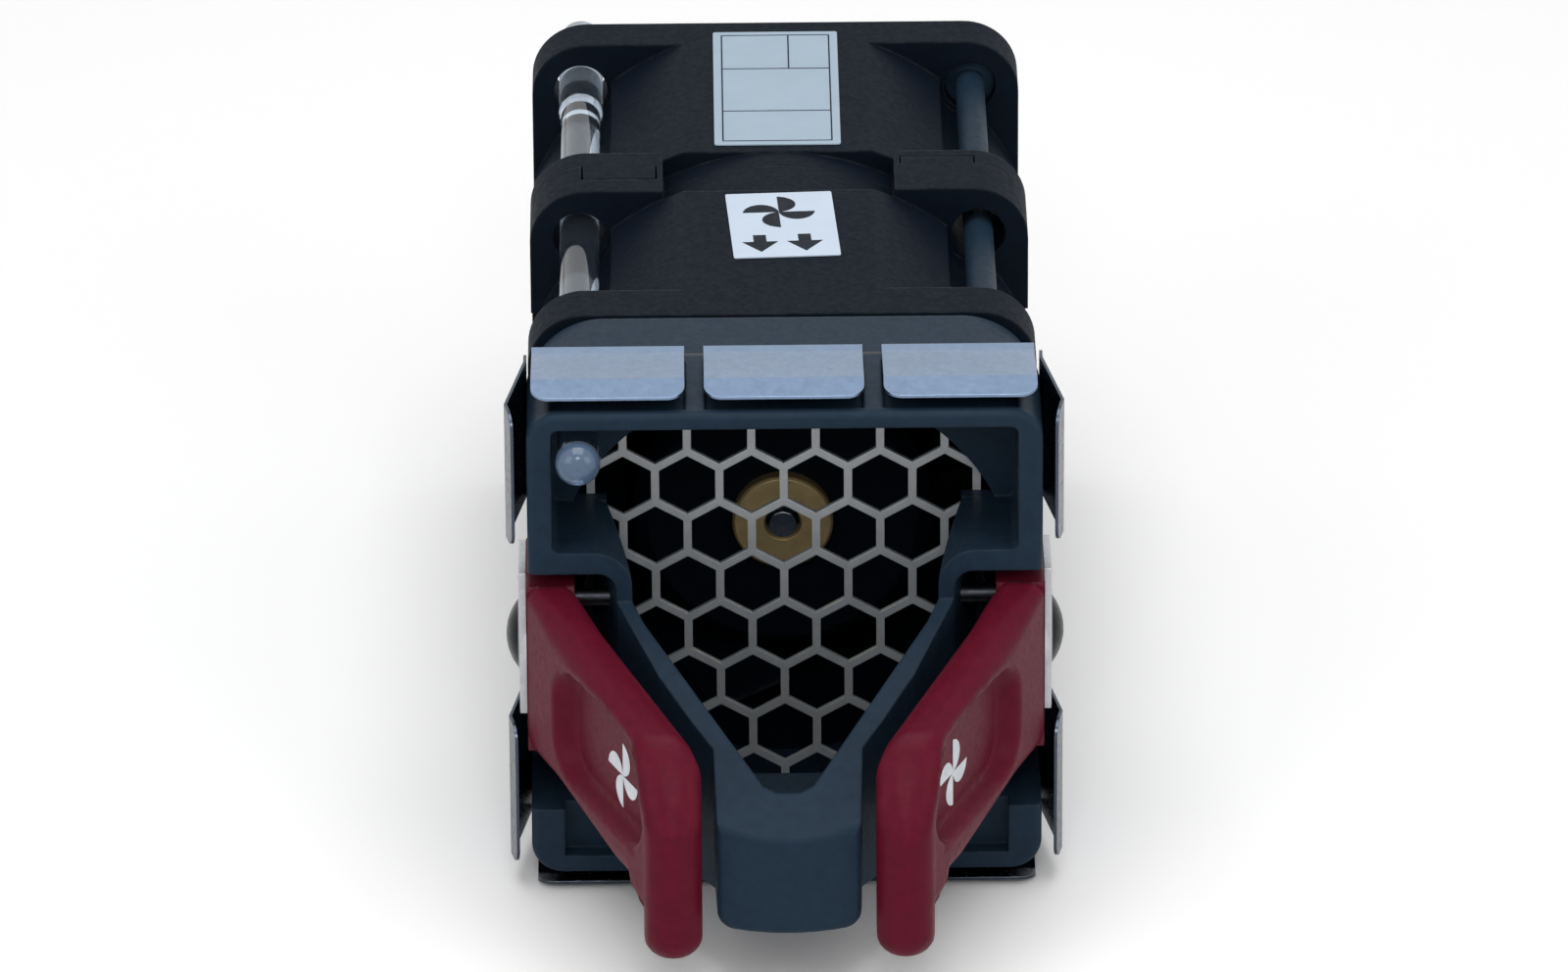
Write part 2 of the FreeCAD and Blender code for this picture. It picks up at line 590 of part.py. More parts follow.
def grip_face(distance, inward="0"):
    """X of the grip's outer face, which closes on the bar, at a distance ahead of the rim."""
    return (f"{GRIP_SIDE} - ({GRIP_SIDE} - {BAR_OUTSIDE}) * (({distance}) + grip_back)"
            f" / (bar_reach + grip_back) - ({inward})")


def sided(side, text):
    """An X expression for the right (1) or left (-1) grip."""
    return text if side > 0 else f"-({text})"


def side_span(side, low, high):
    return (low, high) if side > 0 else (f"-({high})", f"-({low})")


def grip(label, side):
    """A burgundy grip: a slanting plate with a finger recess, a round bar at its front end
    and a block at its rear end that slides on two pins in the bezel's side pocket."""
    body = new_body(label)

    def plan(corners):
        return [(sided(side, c[0]), *c[1:]) for c in corners]

    pad(body, "XY", ("bar_low", "grip_top"), lambda s: outline(s, plan([
        (grip_face("-grip_back"), ahead("-grip_back")),
        (grip_face("-grip_back", "grip_thick"), ahead("-grip_back")),
        (BAR_INSIDE, ahead("bar_reach - bar_nose")),
        (BAR_INSIDE, ahead("bar_reach"), "bar_width * bar_bow"),
        (BAR_OUTSIDE, ahead("bar_reach"))])))
    pocket(body, "YZ", side_span(side, BAR_INSIDE + " - overcut", GRIP_SIDE + " + overcut"),
           lambda s: outline(s, [
               (ahead("-overcut"), "grip_low"), (ahead("0"), "grip_low"),
               (ahead("bar_start - bar_hollow"), "grip_low_front", "bar_hollow * (1 - sqrt(0.5))"),
               (ahead("bar_start"), "grip_low_front - bar_hollow"),
               (ahead("bar_start"), "bar_low - overcut"), (ahead("-overcut"), "bar_low - overcut")]))
    foot = f"({BAR_OUTSIDE} + bite)"
    pocket(body, "XZ", (f"{REACH_RIM}", f"{REACH_RIM} + bar_reach + bar_nose + overcut"),
           lambda s: outline(s, [(sided(side, x), z, *rise) for x, z, *rise in (
               (BAR_INSIDE + " - overcut", "bar_low - overcut"),
               (foot + " + overcut", "bar_low - overcut"), (foot + " + overcut", "bar_low + bar_foot"),
               (foot, "bar_low + bar_foot", "-bar_foot"), (BAR_INSIDE, "bar_low + bar_foot"),
               (BAR_INSIDE + " - overcut", "bar_low + bar_foot"))]))
    top = number("grip_top")
    outer = -number(ahead("-grip_back"))
    soften(body, "Fillet", "grip_round", lambda e: e.BoundBox.ZLength < NEAR
           and abs(e.BoundBox.ZMin - top) < NEAR and e.BoundBox.YMin < -outer - 0.01)
    first, last = "recess_start + recess_slant", "recess_end - recess_slant"
    pocket(body, "XY", ("recess_low", "recess_top"), lambda s: outline(s, plan([
        (grip_face("recess_start", "-overcut"), ahead("recess_start")),
        (grip_face(first, "recess_depth"), ahead(first)),
        (grip_face(last, "recess_depth"), ahead(last)),
        (grip_face("recess_end", "-overcut"), ahead("recess_end"))])))
    walls = [number("recess_low"), number("recess_top")]
    ends = [number(ahead("recess_end")), number(ahead("recess_start"))]
    deep = number("recess_slant") + number("recess_depth")
    soften(body, "Fillet", "recess_round", lambda e: e.BoundBox.ZLength < NEAR
           and min(abs(e.BoundBox.ZMin - z) for z in walls) < NEAR and e.BoundBox.YLength < deep
           and ends[0] - NEAR < e.BoundBox.YMin and e.BoundBox.YMax < ends[1] + NEAR)
    near = ahead("-block_depth")
    pad(body, "XY", ("block_low", "grip_top"), lambda s: oblong(
        s, (sided(side, BLOCK_INSIDE), near), (sided(side, GRIP_SIDE), ahead("-block_front"))))
    for up in ("pin_up", "pin_down"):
        pocket(body, "YZ", side_span(side, BLOCK_INSIDE + " - bite",
                                     "leg_half + pin_length + grip_travel + slide_clear"),
               lambda s: ring(s, (ahead("-pin_back"), up), "pin_radius + run_gap"))
    return part(label, body)


def catch_plate(label, side):
    """A steel plate on the block's outer face, with a round dimple that latches."""
    face, back = GRIP_SIDE, GRIP_SIDE + " + catch_thick"
    y = (ahead("-block_depth + catch_back"), ahead("-block_depth + catch_back + catch_width"))
    y = (y[1], y[0])
    centre = (ahead("-block_depth + catch_back + catch_width / 2"), "pin_down / 2 + dimple_up")
    bulge = "(dimple_radius^2 + dimple_rise^2) / (2 * dimple_rise)"
    plate = block(side_span(side, face, back), y, ("block_low", "grip_top"))
    around = [(f"{c} - dimple_radius - overcut", f"{c} + dimple_radius + overcut") for c in centre]
    ball = doc.addObject("Part::Sphere", "Sphere")
    bind(ball, Radius=bulge, Placement__Base__y=centre[0], Placement__Base__z=centre[1],
         Placement__Base__x=sided(side, f"{back} + dimple_rise - {bulge}"))
    cap = overlap(ball, block(side_span(side, face, back + " + dimple_rise + overcut"),
                              *around))
    return part(label, join(plate, cap))


def guide_pins(label, side):
    """Two steel pins, fixed in the wall of the leg, that guide the grip's block."""
    span = side_span(side, leg_face("pin_back + pin_radius") + " - leg_wall",
                     "leg_half + pin_length")
    pins = [rod("x", "pin_radius", span, (ahead("-pin_back"), up)) for up in ("pin_up", "pin_down")]
    return part(label, group(*pins))


def return_spring(label, side):
    """A bowed leaf between the wall of the leg and the block's inner face."""
    body = new_body(label)
    near = leg_face("block_depth - catch_back")
    far = f"({near} + spring_thick)"
    rise = f"{BLOCK_INSIDE} - {far} - spring_clear"
    middle = "(pin_up + pin_down) / 2"
    low, high = f"{middle} - spring_length / 2", f"{middle} + spring_length / 2"

    def bow(sketch):
        outline(sketch, [(sided(side, far), low, rise), (sided(side, far), high),
                         (sided(side, near), high, f"-({rise})"), (sided(side, near), low)])

    back = f"{REACH_RIM} - block_depth + catch_back"
    pad(body, "XZ", (back, f"{back} + spring_width"), bow)
    return part(label, body)


def grips():
    for name, side in (("left", -1), ("right", 1)):
        grip(f"{name}_grip", side)
        catch_plate(f"{name}_catch_plate", side)
        guide_pins(f"{name}_guide_pins", side)
        return_spring(f"{name}_return_spring", side)


# ---- fan halves -------------------------------------------------------------------------

def outward(front, distance):
    """Reach of a place measured outward from the joint of the two halves."""
    return f"(half_depth + ({distance}))" if front else f"(half_depth - ({distance}))"


def reach_span(front, low, high):
    span = (outward(front, low), outward(front, high))
    return span if front else span[::-1]


def y_at(front, distance):
    return f"-{outward(front, distance)}"


def housing(label, front):
    """One fan half: a square flange at each end, a round barrel cut flat on four sides,
    corner channels, and the motor base on its struts at the joint."""
    body = new_body(label)
    flange = "front_flange" if front else "rear_flange"
    whole = reach_span(front, "0", "half_depth")
    joint = "front_joint" if front else "rear_joint"
    waist = reach_span(front, joint, f"half_depth - {flange}")
    pad(body, "XZ", whole, square)
    soften(body, "Fillet", "fan_corner", lambda e: runs_along(e, "y"))
    pocket(body, "XZ", whole, lambda s: ring(s, ("0", "0"), "bore_radius"))

    def around_barrel(sketch):
        outside = "barrel_radius + overcut"
        oblong(sketch, (f"-({outside})", f"-({outside})"), (outside, outside))
        ring(sketch, ("0", "0"), "barrel_radius")

    pocket(body, "XZ", waist, around_barrel)
    pocket(body, "XZ", waist, lambda s: [ring(s, c, CHANNEL) for c in corners_at(HOLE)])
    pocket(body, "XZ", whole, lambda s: [ring(s, c, "hole_radius") for c in corners_at(HOLE)])

    def joint_slots(sketch):
        side = "sqrt(collar_radius^2 - collar_half^2)"
        shape = [("collar_half", f"{HALF} + overcut"), ("collar_half", side, f"{side} - collar_radius"),
                 ("-collar_half", side), ("-collar_half", f"{HALF} + overcut")]
        for _ in range(4):
            outline(sketch, shape)
            shape = [(c[1], f"-({c[0]})", *c[2:]) for c in shape]

    pocket(body, "XZ", reach_span(front, "0", joint), joint_slots)
    motor_base(body, front)
    return body


def motor_base(body, front):
    """A disc at the joint, carried by leaning struts, with a hole for the bearing tube."""
    span = reach_span(front, "0", "base_thick")
    pad(body, "XZ", span, lambda s: ring(s, ("0", "0"), "base_radius"))
    lean = "strut_lean" if front else "-strut_lean"
    strut = pad(body, "XZ", span, lambda s: outline(s, [
        ("-strut_width / 2", "base_radius - overcut"), ("strut_width / 2", "base_radius - overcut"),
        (f"strut_width / 2 + {lean}", "bore_radius + bite"),
        (f"-strut_width / 2 + {lean}", "bore_radius + bite")]))
    repeat(body, [strut], "strut_count")
    pocket(body, "XZ", span, lambda s: ring(s, ("0", "0"), "tube_radius"))


def locking_tabs(front, slack="0"):
    """Corner tabs on the side walls that reach across the joint into the other half."""
    side = 1 if front else -1
    own, other = ("front_joint", "rear_joint") if front else ("rear_joint", "front_joint")
    tabs = []
    for x_side, z_side in ((side, 1), (-side, -1)):
        x = side_span(x_side, f"collar_half + lock_gap - {slack}", f"collar_half + lock_length + {slack}")
        z = side_span(z_side, f"{HALF} - lock_depth - {slack}", HALF)
        ends = (y_at(front, f"{own} / 2"), y_at(front, f"-{other} / 2 - {slack}"))
        y = sorted(ends, key=number)
        tabs.append((x, y, z))
    return tabs


def fan_halves():
    """Both housings; each carries two locking tabs that fill notches in the other one."""
    for name, front in (("front", True), ("rear", False)):
        body = housing(f"{name}_shell", front)
        notches = [block(*tab) for tab in locking_tabs(not front, "lock_slack")]
        tabs = [block(*tab) for tab in locking_tabs(front)]
        part(f"{name}_housing", join(cut(body, *notches), *tabs))


# ---- impellers --------------------------------------------------------------------------

def blade(front, low, high, root, tip):
    """One twisted blade, a ruled loft from a cambered section inside the hub to one past the
    tip circle.  The twist has the opposite hand in each half, so both blow forward."""
    hand = 1 if front else -1
    rise, thick = number("blade_camber"), number("blade_thick")
    wires = []
    for radius, angle in ((root, "root_angle"), (tip, "tip_angle")):
        across = hand * (high - low) / math.tan(math.radians(number(angle)))
        ends = [Vector(-across / 2, low, radius), Vector(across / 2, high, radius)]
        bow = Vector(low - high, across, 0).normalize() * hand
        faces = [(ends[0] + ends[1]) * 0.5 + bow * (rise + half) for half in (thick / 2, -thick / 2)]
        wires.append(Part.Wire([Part.Arc(ends[0], faces[0], ends[1]).toShape(),
                                Part.Arc(ends[1], faces[1], ends[0]).toShape()]))
    return Part.makeLoft(wires, True, True)


def impeller(label, front, count):
    """A hub cup with a rounded nose and twisted blades trimmed to the tip circle."""
    profile = [(HUB_INSIDE, "hub_start"), (HUB_RADIUS, "hub_start"),
               (HUB_RADIUS, "hub_end - hub_round"), (f"{HUB_RADIUS} - hub_round", "hub_end"),
               ("bush_radius", "hub_end"), ("bush_radius", "yoke_end"), (HUB_INSIDE, "yoke_end")]
    hub = turn(f"{label}_hub", [(r, y_at(front, place)) for r, place in profile])
    along = sorted(number(y_at(front, place)) for place in ("blade_start", "blade_end"))
    tip = number("bore_radius - tip_gap")
    single = blade(front, *along, number(HUB_RADIUS + " - 2 * blade_root"),
                   tip + number("blade_over"))
    trim = Part.makeCylinder(tip, 4 * tip, Vector(0, 0, 0), Vector(0, -1, 0))
    core = Part.makeCylinder(number(HUB_RADIUS + " - blade_root"), 4 * tip, Vector(), Vector(0, -1, 0))
    trim = trim.cut(core)
    single = single.common(trim)
    blades = doc.addObject("Part::Feature", f"{label}_blades")
    turned = [single.rotated(Vector(), Vector(0, 1, 0), 360 * i / count) for i in range(count)]
    blades.Shape = Part.makeCompound(turned)
    return part(label, join(hub, blades))


# ---- motors -----------------------------------------------------------------------------

def ring_profile(front, inner, outer, start, end):
    """A plain turned ring between two radii and two places outward from the joint."""
    return [(inner, y_at(front, start)), (outer, y_at(front, start)),
            (outer, y_at(front, end)), (inner, y_at(front, end))]


def rotor(name, front):
    """Steel yoke, magnet ring, brass bush, shaft and the clip in the shaft's groove."""
    yoke = [(YOKE_INSIDE, "yoke_start"), (HUB_INSIDE, "yoke_start"), (HUB_INSIDE, "yoke_end"),
            ("bush_radius", "yoke_end"), ("bush_radius", "yoke_end - yoke_floor"),
            (YOKE_INSIDE, "yoke_end - yoke_floor")]
    part(f"{name}_yoke", turn(f"{name}_yoke", [(r, y_at(front, p)) for r, p in yoke]))
    magnet = ring_profile(front, MAGNET_INSIDE, YOKE_INSIDE, "magnet_start",
                          "magnet_start + magnet_length")
    part(f"{name}_magnet_ring", turn(f"{name}_magnet_ring", magnet))
    bush = [("shaft_radius", "bush_start"), ("bush_radius", "bush_start"),
            ("bush_radius", "bush_end - bush_chamfer"), ("bush_radius - bush_chamfer", "bush_end"),
            ("shaft_radius", "bush_end")]
    part(f"{name}_hub_bush", turn(f"{name}_hub_bush", [(r, y_at(front, p)) for r, p in bush]))
    groove = "shaft_radius - clip_groove"
    shaft = [("0", "shaft_start"), (groove, "shaft_start"), ("shaft_radius", "shaft_start + shaft_lead"),
             ("shaft_radius", "clip_start"), (groove, "clip_start"),
             (groove, "clip_start + clip_thick"), ("shaft_radius", "clip_start + clip_thick"),
             ("shaft_radius", "shaft_end - shaft_chamfer"),
             ("shaft_radius - shaft_chamfer", "shaft_end"), ("0", "shaft_end")]
    part(f"{name}_shaft", turn(f"{name}_shaft", [(r, y_at(front, p)) for r, p in shaft]))
    y = sorted((y_at(front, "clip_start"), y_at(front, "clip_start + clip_thick")), key=number)
    disc = rod("y", "clip_radius", y, ("0", "0"))
    slot = block(("-clip_mouth", "clip_mouth"), (f"{y[0]} - overcut", f"{y[1]} + overcut"),
                 ("0", "clip_radius + overcut"))
    hole = rod("y", groove, (f"{y[0]} - overcut", f"{y[1]} + overcut"), ("0", "0"))
    part(f"{name}_shaft_clip", cut(disc, hole, slot))


def stator(name, front):
    """Laminated core with T-shaped teeth, a coil round each tooth and the driver board."""
    core_end = "core_start + core_length"
    root = "tube_radius + core_ring"
    tip = "core_radius - tooth_tip"
    body = new_body(f"{name}_stator_core")
    span = reach_span(front, "core_start", core_end)
    pad(body, "XZ", span, lambda s: [ring(s, ("0", "0"), root), ring(s, ("0", "0"), "tube_radius")])
    wide = "core_radius * sin(180 / tooth_count) - slot_width / 2"
    tall = f"sqrt(core_radius^2 - ({wide})^2)"
    tooth = pad(body, "XZ", span, lambda s: outline(s, mirrored([
        ("tooth_width / 2", f"{root} - bite"), ("tooth_width / 2", tip), (wide, f"{tip} - tooth_lip"),
        (wide, tall, f"core_radius - {tall}")])))
    repeat(body, [tooth], "tooth_count")
    part(f"{name}_stator_core", body)
    outer, inner = "tooth_width / 2 + coil_thick", "tooth_width / 2"
    around = sorted((y_at(front, "core_start - coil_thick"),
                     y_at(front, f"{core_end} + coil_thick")), key=number)
    inside = sorted((y_at(front, "core_start"), y_at(front, core_end)), key=number)
    z = (f"{root} + coil_clear", f"{tip} - tooth_lip - coil_clear")
    coils = []
    for i in range(int(number("tooth_count"))):
        full = block((f"-({outer})", outer), around, z)
        hollow = block((f"-({inner})", inner), inside, (f"{z[0]} - overcut", f"{z[1]} + overcut"))
        coil = cut(full, hollow)
        bind(coil, Placement__Rotation__Angle=f"{i} * 360 / tooth_count")
        coil.Placement.Rotation = Rotation(Vector(0, 1, 0), number(f"{i} * 360 / tooth_count"))
        coils.append(coil)
    part(f"{name}_stator_coils", group(*coils))
    board = ring_profile(front, "tube_radius", "board_radius", "board_start",
                         "board_start + board_thick")
    part(f"{name}_circuit_board", turn(f"{name}_circuit_board", board))


def bearings(name, front):
    """Bearing tube in the motor base, two ball bearings in it and the preload washer."""
    second = "tube_end - bearing_width"
    tube = [("bearing_radius - shield_rim", "0"), ("tube_radius", "0"), ("tube_radius", "tube_end"),
            ("bearing_radius", "tube_end"), ("bearing_radius", "bearing_start"),
            ("bearing_radius - shield_rim", "bearing_start")]
    part(f"{name}_bearing_tube",
         turn(f"{name}_bearing_tube", [(r, y_at(front, p)) for r, p in tube]))
    for place, start in (("inner", "bearing_start"), ("outer", second)):
        inner = "shaft_radius + run_gap"
        end = f"{start} + bearing_width"
        shield, deep = "bearing_radius - shield_rim", f"{end} - shield_deep"
        race = [(inner, start), ("bearing_radius", start), ("bearing_radius", end),
                (shield, end), (shield, deep), (f"{inner} + race_wall", deep),
                (f"{inner} + race_wall", end), (inner, end)]
        label = f"{name}_bearing_{place}"
        part(label, turn(label, [(r, y_at(front, p)) for r, p in race]))
    low, rise = "tube_end", "washer_rise"
    thick, inner = "washer_thick", "shaft_radius + washer_clear"
    washer = [(inner, f"{low} + {rise}"), ("washer_radius", low), ("washer_radius", f"{low} + {thick}"),
              (inner, f"{low} + {rise} + {thick}")]
    label = f"{name}_preload_washer"
    part(label, turn(label, [(r, y_at(front, p)) for r, p in washer]))


def fans():
    fan_halves()
    for name, front in (("front", True), ("rear", False)):
        impeller(f"{name}_impeller", front, int(number(f"{name}_blades")))
        rotor(name, front)
        stator(name, front)
        bearings(name, front)


# ---- light pipe, fixing posts and connector ---------------------------------------------

def light_pipe():
    """A clear rod from a lens at the rim to a thicker domed end behind the fan."""
    lens = f"-({REACH_RIM} + pipe_front)"
    step = "lens_radius"
    head = "-head_length"
    tail = "pipe_tail"
    bulge = "pipe_head * (1 - sqrt(0.5))"
    front_bulge = f"{step} * (1 - sqrt(0.5))"
    body = turn("light_pipe", [
        ("0", f"{lens} - {step} * lens_dome", front_bulge), (step, lens),
        (step, f"{lens} + lens_back"),
        ("pipe_radius", f"{lens} + lens_back + lens_slope"),
        ("pipe_radius", f"{head} - pipe_taper"), ("pipe_head", head),
        ("pipe_head", f"{tail} - pipe_head", bulge), ("0", tail)])
    bind(body, Placement__Base__x="-hole_pitch / 2", Placement__Base__z=HOLE)
    return part("light_pipe", body)


def fixing_posts():
    """Three moulded posts from the adapter ring through the corner holes of both halves,
    each with a swollen end in the rear flange."""
    posts = []
    for spot in corners_at(HOLE):
        if number(spot[0]) < 0 < number(spot[1]):
            continue
        shank = rod("y", "post_radius", (f"-{REACH_SHEET}", "-post_back"), spot)
        head = rod("y", "post_head", ("-post_back - post_head_length", "-post_back"), spot)
        posts.append(join(shank, head))
    return part("fixing_posts", group(*posts))


def connector():
    """Blind-mate plug low on the rear face, with a row of flat contacts in its socket."""
    low, high = "plug_low", "plug_low + plug_height"
    shell = block(("-plug_half", "plug_half"), ("0", "plug_length"), (low, high))
    socket = block(("-plug_half + socket_wall", "plug_half - socket_wall"),
                   ("socket_floor", "plug_length + overcut"),
                   (f"{low} + socket_wall", f"{high} - socket_wall"))
    part("connector_housing", cut(shell, socket))
    middle = "plug_low + plug_height / 2"
    blades = []
    for i in range(int(number("contact_count"))):
        centre = f"contact_pitch * ({i} - (contact_count - 1) / 2)"
        blades.append(block((f"{centre} - contact_width / 2", f"{centre} + contact_width / 2"),
                            ("socket_floor", "plug_length - contact_inset"),
                            (f"{middle} - contact_width / 4", f"{middle} + contact_width / 4")))
    part("connector_contacts", group(*blades))


# ---- build, check and write -------------------------------------------------------------

def check():
    """Stop if an object failed to compute or a sub-part has no valid shape."""
    doc.recompute()
    failed = [f"{thing.Name} in {thing.Label}" for thing in doc.Objects
              if {"Invalid", "Error"} & set(thing.State)]
    failed += [label for label, thing in parts.items()
               if thing.Shape.isNull() or not thing.Shape.isValid() or not thing.Shape.Solids]
    if failed:
        raise ValueError("failed: " + ", ".join(failed))


def main():
    bezel()
    adapter_ring()
    grille()
    spring_fingers()
    grips()
    fans()
    light_pipe()
    fixing_posts()
    connector()
    check()
    os.makedirs("parts", exist_ok=True)
    for label, thing in parts.items():
        thing.Shape.exportStep(f"parts/{label}.step")
    print(len(parts), "sub-parts written")


main()
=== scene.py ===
"""Server fan module: finishes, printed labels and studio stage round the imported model."""
import json
import math

import bmesh
import bpy
import numpy as np
from mathutils import Matrix, Vector
from mathutils.bvhtree import BVHTree


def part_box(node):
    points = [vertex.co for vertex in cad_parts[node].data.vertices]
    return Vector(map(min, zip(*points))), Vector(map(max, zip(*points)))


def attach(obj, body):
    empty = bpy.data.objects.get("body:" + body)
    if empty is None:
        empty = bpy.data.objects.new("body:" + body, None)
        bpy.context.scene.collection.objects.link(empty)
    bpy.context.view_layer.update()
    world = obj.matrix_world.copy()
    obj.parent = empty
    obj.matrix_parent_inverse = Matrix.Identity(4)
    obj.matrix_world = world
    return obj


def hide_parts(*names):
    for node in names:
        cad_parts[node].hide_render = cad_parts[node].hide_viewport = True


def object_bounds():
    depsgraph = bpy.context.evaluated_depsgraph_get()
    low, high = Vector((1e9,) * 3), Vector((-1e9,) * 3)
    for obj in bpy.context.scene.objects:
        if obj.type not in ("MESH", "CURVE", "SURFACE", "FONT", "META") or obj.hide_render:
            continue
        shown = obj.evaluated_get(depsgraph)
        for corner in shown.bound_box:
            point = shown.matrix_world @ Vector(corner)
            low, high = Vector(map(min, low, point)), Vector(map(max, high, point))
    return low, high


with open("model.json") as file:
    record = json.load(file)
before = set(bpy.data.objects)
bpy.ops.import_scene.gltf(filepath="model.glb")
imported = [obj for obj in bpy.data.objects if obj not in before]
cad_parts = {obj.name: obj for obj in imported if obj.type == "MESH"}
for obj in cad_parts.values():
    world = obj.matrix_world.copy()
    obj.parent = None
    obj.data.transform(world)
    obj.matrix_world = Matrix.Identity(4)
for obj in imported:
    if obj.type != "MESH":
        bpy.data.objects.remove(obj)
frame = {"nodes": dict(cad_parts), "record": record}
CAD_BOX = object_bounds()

bl_info = {
    "name": "Server Fan Module",
    "version": (1, 0, 0),
    "blender": (4, 5, 0),
    "location": "3D View > Sidebar > Fan Module",
    "description": "Finishes, labels, grip symbols and a studio stage for a server fan module",
    "category": "Object",
}

MM = 0.001
GLUE = 0.01 * MM
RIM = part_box("bezel")[1].y - 10.6 * MM
NODES = frame["nodes"]
SLOT_OF = {row["node"]: row["material_slot"] for row in frame["record"]["subparts"]}


def from_screen(red, green, blue):
    """Linear colour from screen values of 0 to 255: the standard curve, undone channel by channel."""
    return tuple(c / 12.92 if c <= 0.04045 else ((c + 0.055) / 1.055) ** 2.4
                 for c in (red / 255, green / 255, blue / 255))


# ---- properties -------------------------------------------------------------------------

def colour_property(name, description, default):
    """A colour that the panel shows."""
    return bpy.props.FloatVectorProperty(name=name, description=description, subtype="COLOR",
                                         size=3, min=0.0, max=1.0, default=default)


def length_property(name, description, default):
    """A length in metres that the panel shows."""
    return bpy.props.FloatProperty(name=name, description=description, default=default,
                                   unit="LENGTH", subtype="DISTANCE", precision=5)


class FanModuleColours(bpy.types.PropertyGroup):
    """Colours of the finishes."""

    bezel: colour_property("Bezel", "Blue-grey moulding of the bezel and adapter ring",
                           from_screen(31, 47, 62))
    fan: colour_property("Fan", "Black moulding of the fan frames and impellers",
                         from_screen(14, 22, 32))
    grip: colour_property("Grip", "Burgundy moulding of the squeeze grips",
                          from_screen(92, 17, 37))
    sheet: colour_property("Sheet", "Stainless honeycomb sheet", from_screen(188, 193, 196))
    finger: colour_property("Finger", "Brushed spring fingers", from_screen(128, 149, 176))
    brass: colour_property("Brass", "Turned brass hub bush", from_screen(232, 204, 146))
    rating_label: colour_property("Rating label", "Paper of the large label",
                                  from_screen(170, 188, 204))
    airflow_label: colour_property("Airflow label", "Paper of the small label",
                                   from_screen(208, 222, 238))
    ink: colour_property("Ink", "Print on the labels", from_screen(34, 40, 48))


class FanModuleLabels(bpy.types.PropertyGroup):
    """Sizes and places of the labels and symbols."""

    rating_width: length_property("Rating width", "Width of the large label", 10.2 * MM)
    rating_length: length_property("Rating length", "Length of the large label", 22.2 * MM)
    rating_back: length_property("Rating setback", "Gap behind the large label", 2.1 * MM)
    airflow_width: length_property("Airflow width", "Width of the small label", 8.5 * MM)
    airflow_length: length_property("Airflow length", "Length of the small label", 12.0 * MM)
    airflow_place: length_property("Airflow place", "Centre of the small label ahead of the "
                                   "rear face", 39.6 * MM)
    airflow_aside: length_property("Airflow aside", "Centre of the small label to the right of "
                                   "the fan axis", 0.25 * MM)
    airflow_turn: bpy.props.FloatProperty(name="Airflow turn", description="Turn of the small "
                                          "label", default=math.radians(3.0), subtype="ANGLE",
                                          unit="ROTATION")
    paper: length_property("Paper", "Thickness of a label", 0.09 * MM)
    print_lift: length_property("Print lift", "Height of the print over its ground", 0.02 * MM)
    symbol_size: length_property("Symbol size", "Width of the fan symbol on a grip", 5.6 * MM)
    symbol_ahead: length_property("Symbol ahead", "Symbol centre ahead of the bezel rim",
                                  13.1 * MM)
    symbol_height: length_property("Symbol height", "Symbol centre above the fan axis", -4.5 * MM)


class FanModuleGrips(bpy.types.PropertyGroup):
    """Form of the grips ahead of the bezel rim.  Heights are above the fan axis."""

    top: length_property("Top", "Height of the grip at the rim", 5.0 * MM)
    fall: bpy.props.FloatProperty(name="Fall", description="How far the top falls for each "
                                  "length forward", default=0.225, min=0.0, max=1.0,
                                  subtype="FACTOR")
    shoulder: length_property("Shoulder", "Where the top begins to round over, ahead of the "
                              "rim", 17.2 * MM)
    shoulder_drop: length_property("Shoulder drop", "How far the rounding takes the top down",
                                   5.5 * MM)
    edge: length_property("Edge", "Radius along the grip's edges", 1.9 * MM)
    recess_start: length_property("Recess start", "Rear end of the finger recess", 4.3 * MM)
    recess_end: length_property("Recess end", "Front end of the finger recess", 19.9 * MM)
    recess_top: length_property("Recess top", "Top of the finger recess", 1.2 * MM)
    recess_low: length_property("Recess low", "Bottom of the finger recess", -8.3 * MM)
    recess_corner: length_property("Recess corner", "Corner radius of the finger recess",
                                   3.4 * MM)
    recess_depth: length_property("Recess depth", "Depth of the finger recess", 1.6 * MM)
    bar_low: length_property("Bar low", "Height of the bar's rounded foot", -16.6 * MM)


class FanModuleStage(bpy.types.PropertyGroup):
    """Camera, lamps and floor."""

    distance: length_property("Distance", "Camera to the middle of the module", 1.0)
    lens: bpy.props.FloatProperty(name="Lens", description="Focal length in millimetres on a "
                                  "36 mm sensor", default=288.5, unit="CAMERA")
    elevation: bpy.props.FloatProperty(name="Elevation", description="Camera height angle",
                                       default=math.radians(26.19), subtype="ANGLE",
                                       unit="ROTATION")
    azimuth: bpy.props.FloatProperty(name="Azimuth", description="Camera turn about the module",
                                     default=math.radians(-0.48), subtype="ANGLE",
                                     unit="ROTATION")
    roll: bpy.props.FloatProperty(name="Roll", description="Camera roll",
                                  default=math.radians(-0.34), subtype="ANGLE", unit="ROTATION")
    ambient: bpy.props.FloatProperty(name="Ambient", description="Light from all round",
                                     default=0.34, min=0.0, max=1.0, subtype="FACTOR")
    key: bpy.props.FloatProperty(name="Key", description="Power of the lamp overhead",
                                 default=2.0, min=0.0, unit="POWER")


GROUPS = {"fan_module_colours": FanModuleColours, "fan_module_grips": FanModuleGrips,
          "fan_module_labels": FanModuleLabels, "fan_module_stage": FanModuleStage}


# ---- surfaces ---------------------------------------------------------------------------

